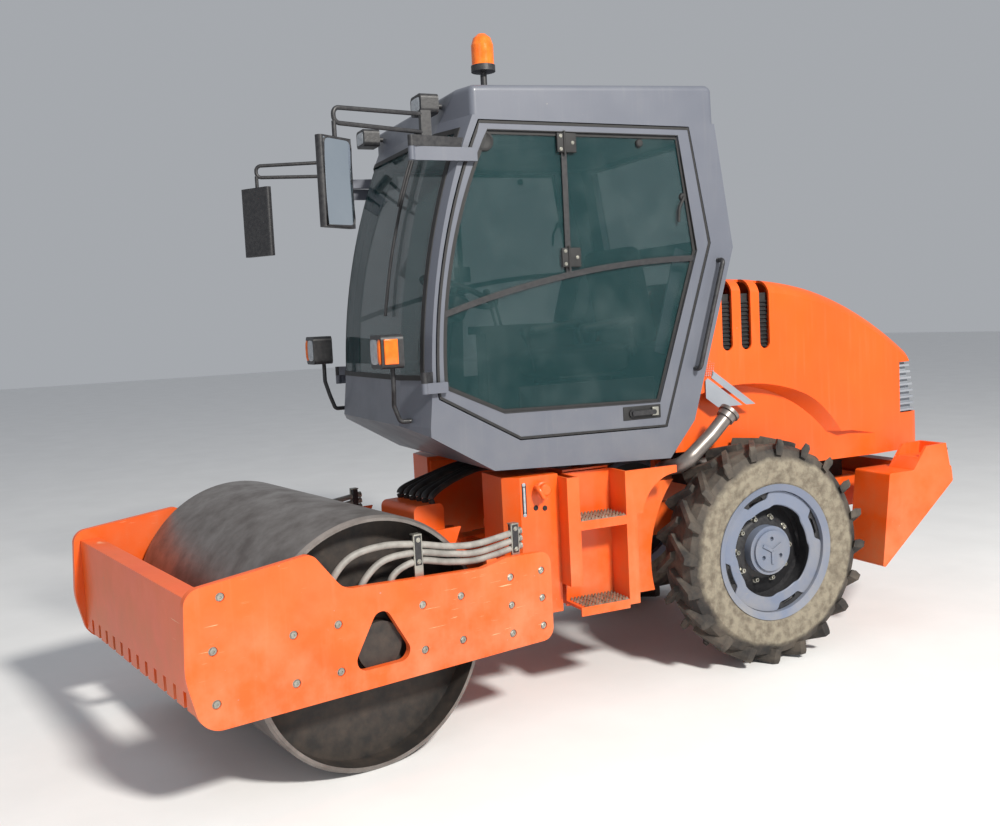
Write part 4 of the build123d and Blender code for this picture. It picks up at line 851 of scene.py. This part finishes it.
def rimRing(side):
    # r(t) = outer - notch * b(t) outside and inner - wave * c(t) inside, where b and c are smooth steps
    # that are 1 near four angles a quarter turn apart, c wider and softer than b
    t = np.linspace(0, 2 * math.pi, 240, endpoint=False)
    away = np.abs((np.degrees(t) - rimPlate["turn"] + 45) % 90 - 45) - rimPlate["halfWidth"]
    outer = rimPlate["outer"] - rimPlate["notch"] / (1 + np.exp(away * 1.1))
    inner = rimPlate["inner"] - rimPlate["wave"] / (1 + np.exp((away - 4) * 0.5))
    lip, low, high = rimPlate["lip"], rimPlate["place"], rimPlate["place"] + rimPlate["thick"]
    profile = ((outer, low), (outer, high - lip / 2), (outer - lip / 2, high), (inner + lip, high),
               (inner, high - lip), (inner, low))
    centre = rear(side * machine["trackHalf"], machine["axleY"], machine["axleZ"])
    rails = [centre + np.stack([np.full_like(t, side * along), r * np.cos(t), r * np.sin(t)], axis=1)
             for r, along in profile]
    return grid(np.stack(rails, axis=1), True, True)


for side, hand in ((1, "left"), (-1, "right")):
    makePiece("rimRing" + hand.title(), rimRing(side), [rimPaint], "wheel_" + hand, 30)
print("roller: rim plates done")


# Hood: two slanted stripes on each side that end in rows of dots, and the dark mesh behind the air slots

stripes = {
    "x": 0.5502, "lift": 0.0006, "dots": 26, "rowLength": 4, "firstDot": (0.868, 1.395), "pitchY": 0.012,
    "pitchZ": 0.011, "lean": 0.002, "dotSize": 0.0042, "fade": 0.10, "frontEdge": 0.845, "frontSlope": 0.32,
    "bands": (((0.930, 1.237), (1.075, 1.237), (0.875, 1.381), (0.862, 1.372), (0.862, 1.286)),
              ((1.097, 1.237), (1.153, 1.237), (0.905, 1.416), (0.897, 1.381)))}
slots = {"y": (1.000, 1.112, 1.224), "bars": (1.515, 1.735, 12), "barX": 0.528, "plateX": 0.520,
         "middle": 1.640, "barTurn": 25}


def dotLoops():
    # Small diamonds in rows that lean back and shrink upwards, left out in front of the hood's slanted edge
    loops, (firstY, firstZ) = [], stripes["firstDot"]
    for k in range(stripes["dots"]):
        row = k // stripes["rowLength"]
        y = firstY + stripes["pitchY"] * (k % stripes["rowLength"]) + stripes["lean"] * row
        z = firstZ + stripes["pitchZ"] * row
        size = stripes["dotSize"] * (1 - stripes["fade"] * row)
        if y > stripes["frontEdge"] + (z - firstZ) * stripes["frontSlope"]:
            loops.append([(y - size, z), (y, z - size), (y + size, z), (y, z + size)])
    return loops


shapes = []
for side in (1, -1):
    for loop in (*stripes["bands"], *dotLoops()):
        y, z = np.array(loop).T
        shapes += prism(rear(side * stripes["x"], y, z), (side * stripes["lift"], 0, 0))
makePiece("hoodStripes", shapes, [stripePaint], "hood", 30)

shapes = []
for side in (1, -1):
    for y in slots["y"]:
        for z in np.linspace(*slots["bars"]):
            shapes += softBox((0.006, 0.062, 0.007), 0.002, rear(side * slots["barX"], y, z),
                              turned(1, side * slots["barTurn"]))
        shapes += softBox((0.004, 0.070, 0.275), 0.0015, rear(side * slots["plateX"], y, slots["middle"]))
makePiece("slotMesh", shapes, [sealRubber], "hood", 30)
print("roller: stripes and slots done")


# Inside the cab: sprung seat with padded cushions and arm rests, levers, panels by the doors and the dash

# Each pad's name, size, place, tilt, turn about its own height and bulge
seat = {"pads": (("seatCushion", (0.46, 0.44, 0.13), (0, 0.45, 1.485), 3, 0, 0.022),
                 ("seatBack", (0.44, 0.50, 0.12), (0, 0.735, 1.795), -79, 180, 0.018)),
        "fill": 0.8, "postY": 0.44, "folds": 7, "firstFold": 1.185, "foldPitch": 0.034}


def cushion(size, place, turn, bulge):
    # A rounded box whose broad face swells by bulge * (1 - u^2)(1 - v^2)
    points, faces, mat = softBox(size, min(size) * 0.42, (0, 0, 0), steps=6)[0]
    u, v = points[:, 0] / (size[0] / 2), points[:, 1] / (size[1] / 2)
    swell = bulge * np.clip(1 - u ** 2, 0, 1) * np.clip(1 - v ** 2, 0, 1)
    points[:, 2] += np.where(points[:, 2] > 0, swell, 0)
    return [(points @ turn.T + place, faces, mat)]


for name, size, place, tilt, yaw, bulge in seat["pads"]:
    shapes = cushion(size, rear(*place), turned(0, tilt) @ turned(2, yaw), bulge)
    pad = makePiece(name, shapes, [seatCloth], "rear_frame", 60,
                    modifiers=[("SUBSURF", {"levels": 2, "render_levels": 2})])
shapes = softBox((0.30, 0.30, 0.012), 0.004, rear(0, seat["postY"], 1.157))
for k in range(seat["folds"]):
    width = 0.30 - 0.02 * (k % 2)
    shapes += softBox((width, width, 0.030), 0.014,
                      rear(0, seat["postY"], seat["firstFold"] + seat["foldPitch"] * k))
shapes += softBox((0.40, 0.38, 0.020), 0.008, rear(0, 0.45, 1.412))
for side in (1, -1):
    shapes += softBox((0.055, 0.30, 0.045), 0.02, rear(side * 0.27, 0.50, 1.66), turned(0, 6))
    shapes += tube([rear(side * 0.25, 0.66, 1.50), rear(side * 0.265, 0.63, 1.64)], 0.016, 10)
makePiece("seatFrame", shapes, [blackPlasticAndShade], "rear_frame", 40, replace=("seat",))

# Each lever's foot and tip stand over (x, y), its tip at the height top
levers = {
    "places": ((-0.33, 0.16, 1.83), (-0.37, 0.22, 1.79), (0.30, 0.06, 1.62)), "length": 0.16, "lean": 0.02,
    "radius": 0.008, "axis": (0, -0.24, 0.97),
    "knob": ((0.0, 0.045), (0.014, 0.042), (0.021, 0.026), (0.017, 0.004), (0.009, -0.006))}
shapes = []
for side in (1, -1):
    shapes += softBox((0.010, 0.70, 0.235), 0.004, rear(side * 0.560, 0.215, 1.295))
    shapes += softBox((0.012, 0.10, 0.50), 0.004, rear(side * 0.540, 0.700, 1.75), turned(0, -16), mat=1)
for x, y, top in levers["places"]:
    tip = rear(x, y - levers["lean"], top)
    shapes += tube([rear(x, y + levers["lean"], top - levers["length"]), tip], levers["radius"], 10)
    shapes += spin(levers["knob"], tip, levers["axis"], 18)
shapes += softBox((0.36, 0.10, 0.12), 0.03, rear(0, -0.235, 1.775), turned(0, -25))
for x in np.linspace(-0.12, 0.12, 5):
    shapes += spin([(0.0, 0.004), (0.016, 0.004), (0.019, 0.0)], rear(x, -0.195, 1.833), (0, 0.42, 0.90),
                   18, 1)
makePiece("cabTrim", shapes, [blackPlasticAndShade, greyPaint], "rear_frame", 40)
print("roller: cab inside done")


# Joint: black hoses from the cross beam's housing to the rear frame below the cab, drawn in at the middle

jointHoses = {"radius": 0.017, "thinner": 0.003, "count": 6, "firstX": -0.15, "pitch": 0.055,
              "bendFrom": (0, -0.12, 0.98), "bendTo": (0, -0.47, 0.90)}
shapes = []
for k in range(jointHoses["count"]):
    x = jointHoses["firstX"] + jointHoses["pitch"] * k
    start = front(x + 0.01, -0.470, 0.872)
    crown = 0.5 * (start + rear(x * 0.9, -0.16, 1.00)) + (0, 0, 0.03 + 0.006 * (k % 3))
    path = [start, start + (0, 0, 0.05), crown, rear(x * 0.85, -0.13, 1.005), rear(x * 0.8, 0.0, 0.985),
            rear(x * 0.8, 0.085, 0.960)]
    shapes += tube(smoothPath(path, 10), jointHoses["radius"] - jointHoses["thinner"] * (k % 2), 12)
jointPiece = makePiece("jointHoses", shapes, [blackHose], None, 40)
rear(*jointHoses["bendFrom"]).tolist()
front(*jointHoses["bendTo"]).tolist()
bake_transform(jointPiece)


# Tail: a red and an amber lamp on each side of the ballast block, its blank plate, and the hood's latch

tail = {"lampX": 0.62, "apart": 0.036, "turn": -12, "plate": (0, 2.287, 0.62), "latch": (0, 2.352, 1.000),
        "key": (0.035, 2.358, 1.000)}
shapes = []
for side in (1, -1):
    shapes += softBox((0.150, 0.030, 0.070), 0.008, rear(side * tail["lampX"], 2.262, 0.893),
                      turned(0, tail["turn"]))
    for x, finish in ((tail["lampX"] + tail["apart"], 1), (tail["lampX"] - tail["apart"], 2)):
        shapes += softBox((0.062, 0.010, 0.054), 0.004, rear(side * x, 2.279, 0.896),
                          turned(0, tail["turn"]), mat=finish)
shapes += softBox((0.52, 0.006, 0.115), 0.003, rear(*tail["plate"]), mat=3)
makePiece("tailLamps", shapes, [blackPlasticAndShade, redLens, amberLens, orangePaint], "rear_frame",
          30)
shapes = softBox((0.11, 0.022, 0.035), 0.009, rear(*tail["latch"]), turned(0, -8))
shapes += spin([(0.0, 0.006), (0.010, 0.006), (0.013, 0.0)], rear(*tail["key"]), (0, 1, 0.1), 16, 1)
makePiece("hoodLatch", shapes, [blackPlasticAndShade, zincSteel], "hood", 40)
print("roller: joint hoses and tail done")


# Camera and light

view = {"place": (4.4809, -2.2879, 1.7057), "azimuth": 65.728, "elevation": 4.508, "roll": -2.883,
        "lens": 37.214, "shiftX": 0.00537, "shiftY": -0.01068}


def makeCamera():
    # Columns right, up and back from the azimuth and elevation, turned by the roll
    az, el, roll = (math.radians(view[k]) for k in ("azimuth", "elevation", "roll"))
    back = np.array([math.sin(az) * math.cos(el), -math.cos(az) * math.cos(el), math.sin(el)])
    right = unit(np.cross((0, 0, 1), back))
    up = np.cross(back, right)
    x = math.cos(roll) * right + math.sin(roll) * up
    y = -math.sin(roll) * right + math.cos(roll) * up
    data = bpy.data.cameras.new("studioCamera")
    data.lens, data.sensor_width, data.clip_end = view["lens"], 36, 100
    data.shift_x, data.shift_y = view["shiftX"], view["shiftY"]
    camera = bpy.data.objects.new("studioCamera", data)
    matrix = np.eye(4)
    matrix[:3] = np.column_stack([x, y, back, view["place"]])
    camera.matrix_world = Matrix(matrix.tolist())
    scene.collection.objects.link(camera)
    scene.camera = camera


def addLight(name, place, target, size, power, colour):
    # A round area light at a place that looks at its target
    data = bpy.data.lights.new(name, "AREA")
    data.shape, data.size, data.energy, data.color = "DISK", size, power, colour
    light = bpy.data.objects.new(name, data)
    light.location = place
    light.rotation_euler = (Vector(target) - Vector(place)).to_track_quat("-Z", "Y").to_euler()
    scene.collection.objects.link(light)


makeCamera()
scene.view_settings.view_transform = "Standard"
scene.view_settings.look = "None"
world = bpy.data.worlds.new("studioWorld")
world.use_nodes = True
world.node_tree.nodes["Background"].inputs[0].default_value = (0.90, 0.94, 1.0, 1)
world.node_tree.nodes["Background"].inputs[1].default_value = 0.42
scene.world = world
addLight("sunSide", (8.5, 1.0, 7.5), (0, -0.2, 0.8), 1.4, 1550, (1.0, 0.965, 0.90))
addLight("skyFill", (5.5, -6.5, 3.5), (0, 0.0, 0.8), 4.0, 30, (0.92, 0.96, 1.0))

floorMaterial = plain("floorGrey", (0.80, 0.80, 0.80), (0.84, 0.84, 0.84), 0.8, 2.0)
floorHalf = 40
floorMesh = bpy.data.meshes.new("studioFloor")
floorMesh.from_pydata([(a * floorHalf, b * floorHalf, 0) for a, b in ((-1, -1), (1, -1), (1, 1), (-1, 1))],
                      [], [(0, 1, 2, 3)])
floorMesh.materials.append(floorMaterial)
studioFloor = bpy.data.objects.new("studioFloor", floorMesh)
scene.collection.objects.link(studioFloor)
print("roller: camera and light placed")
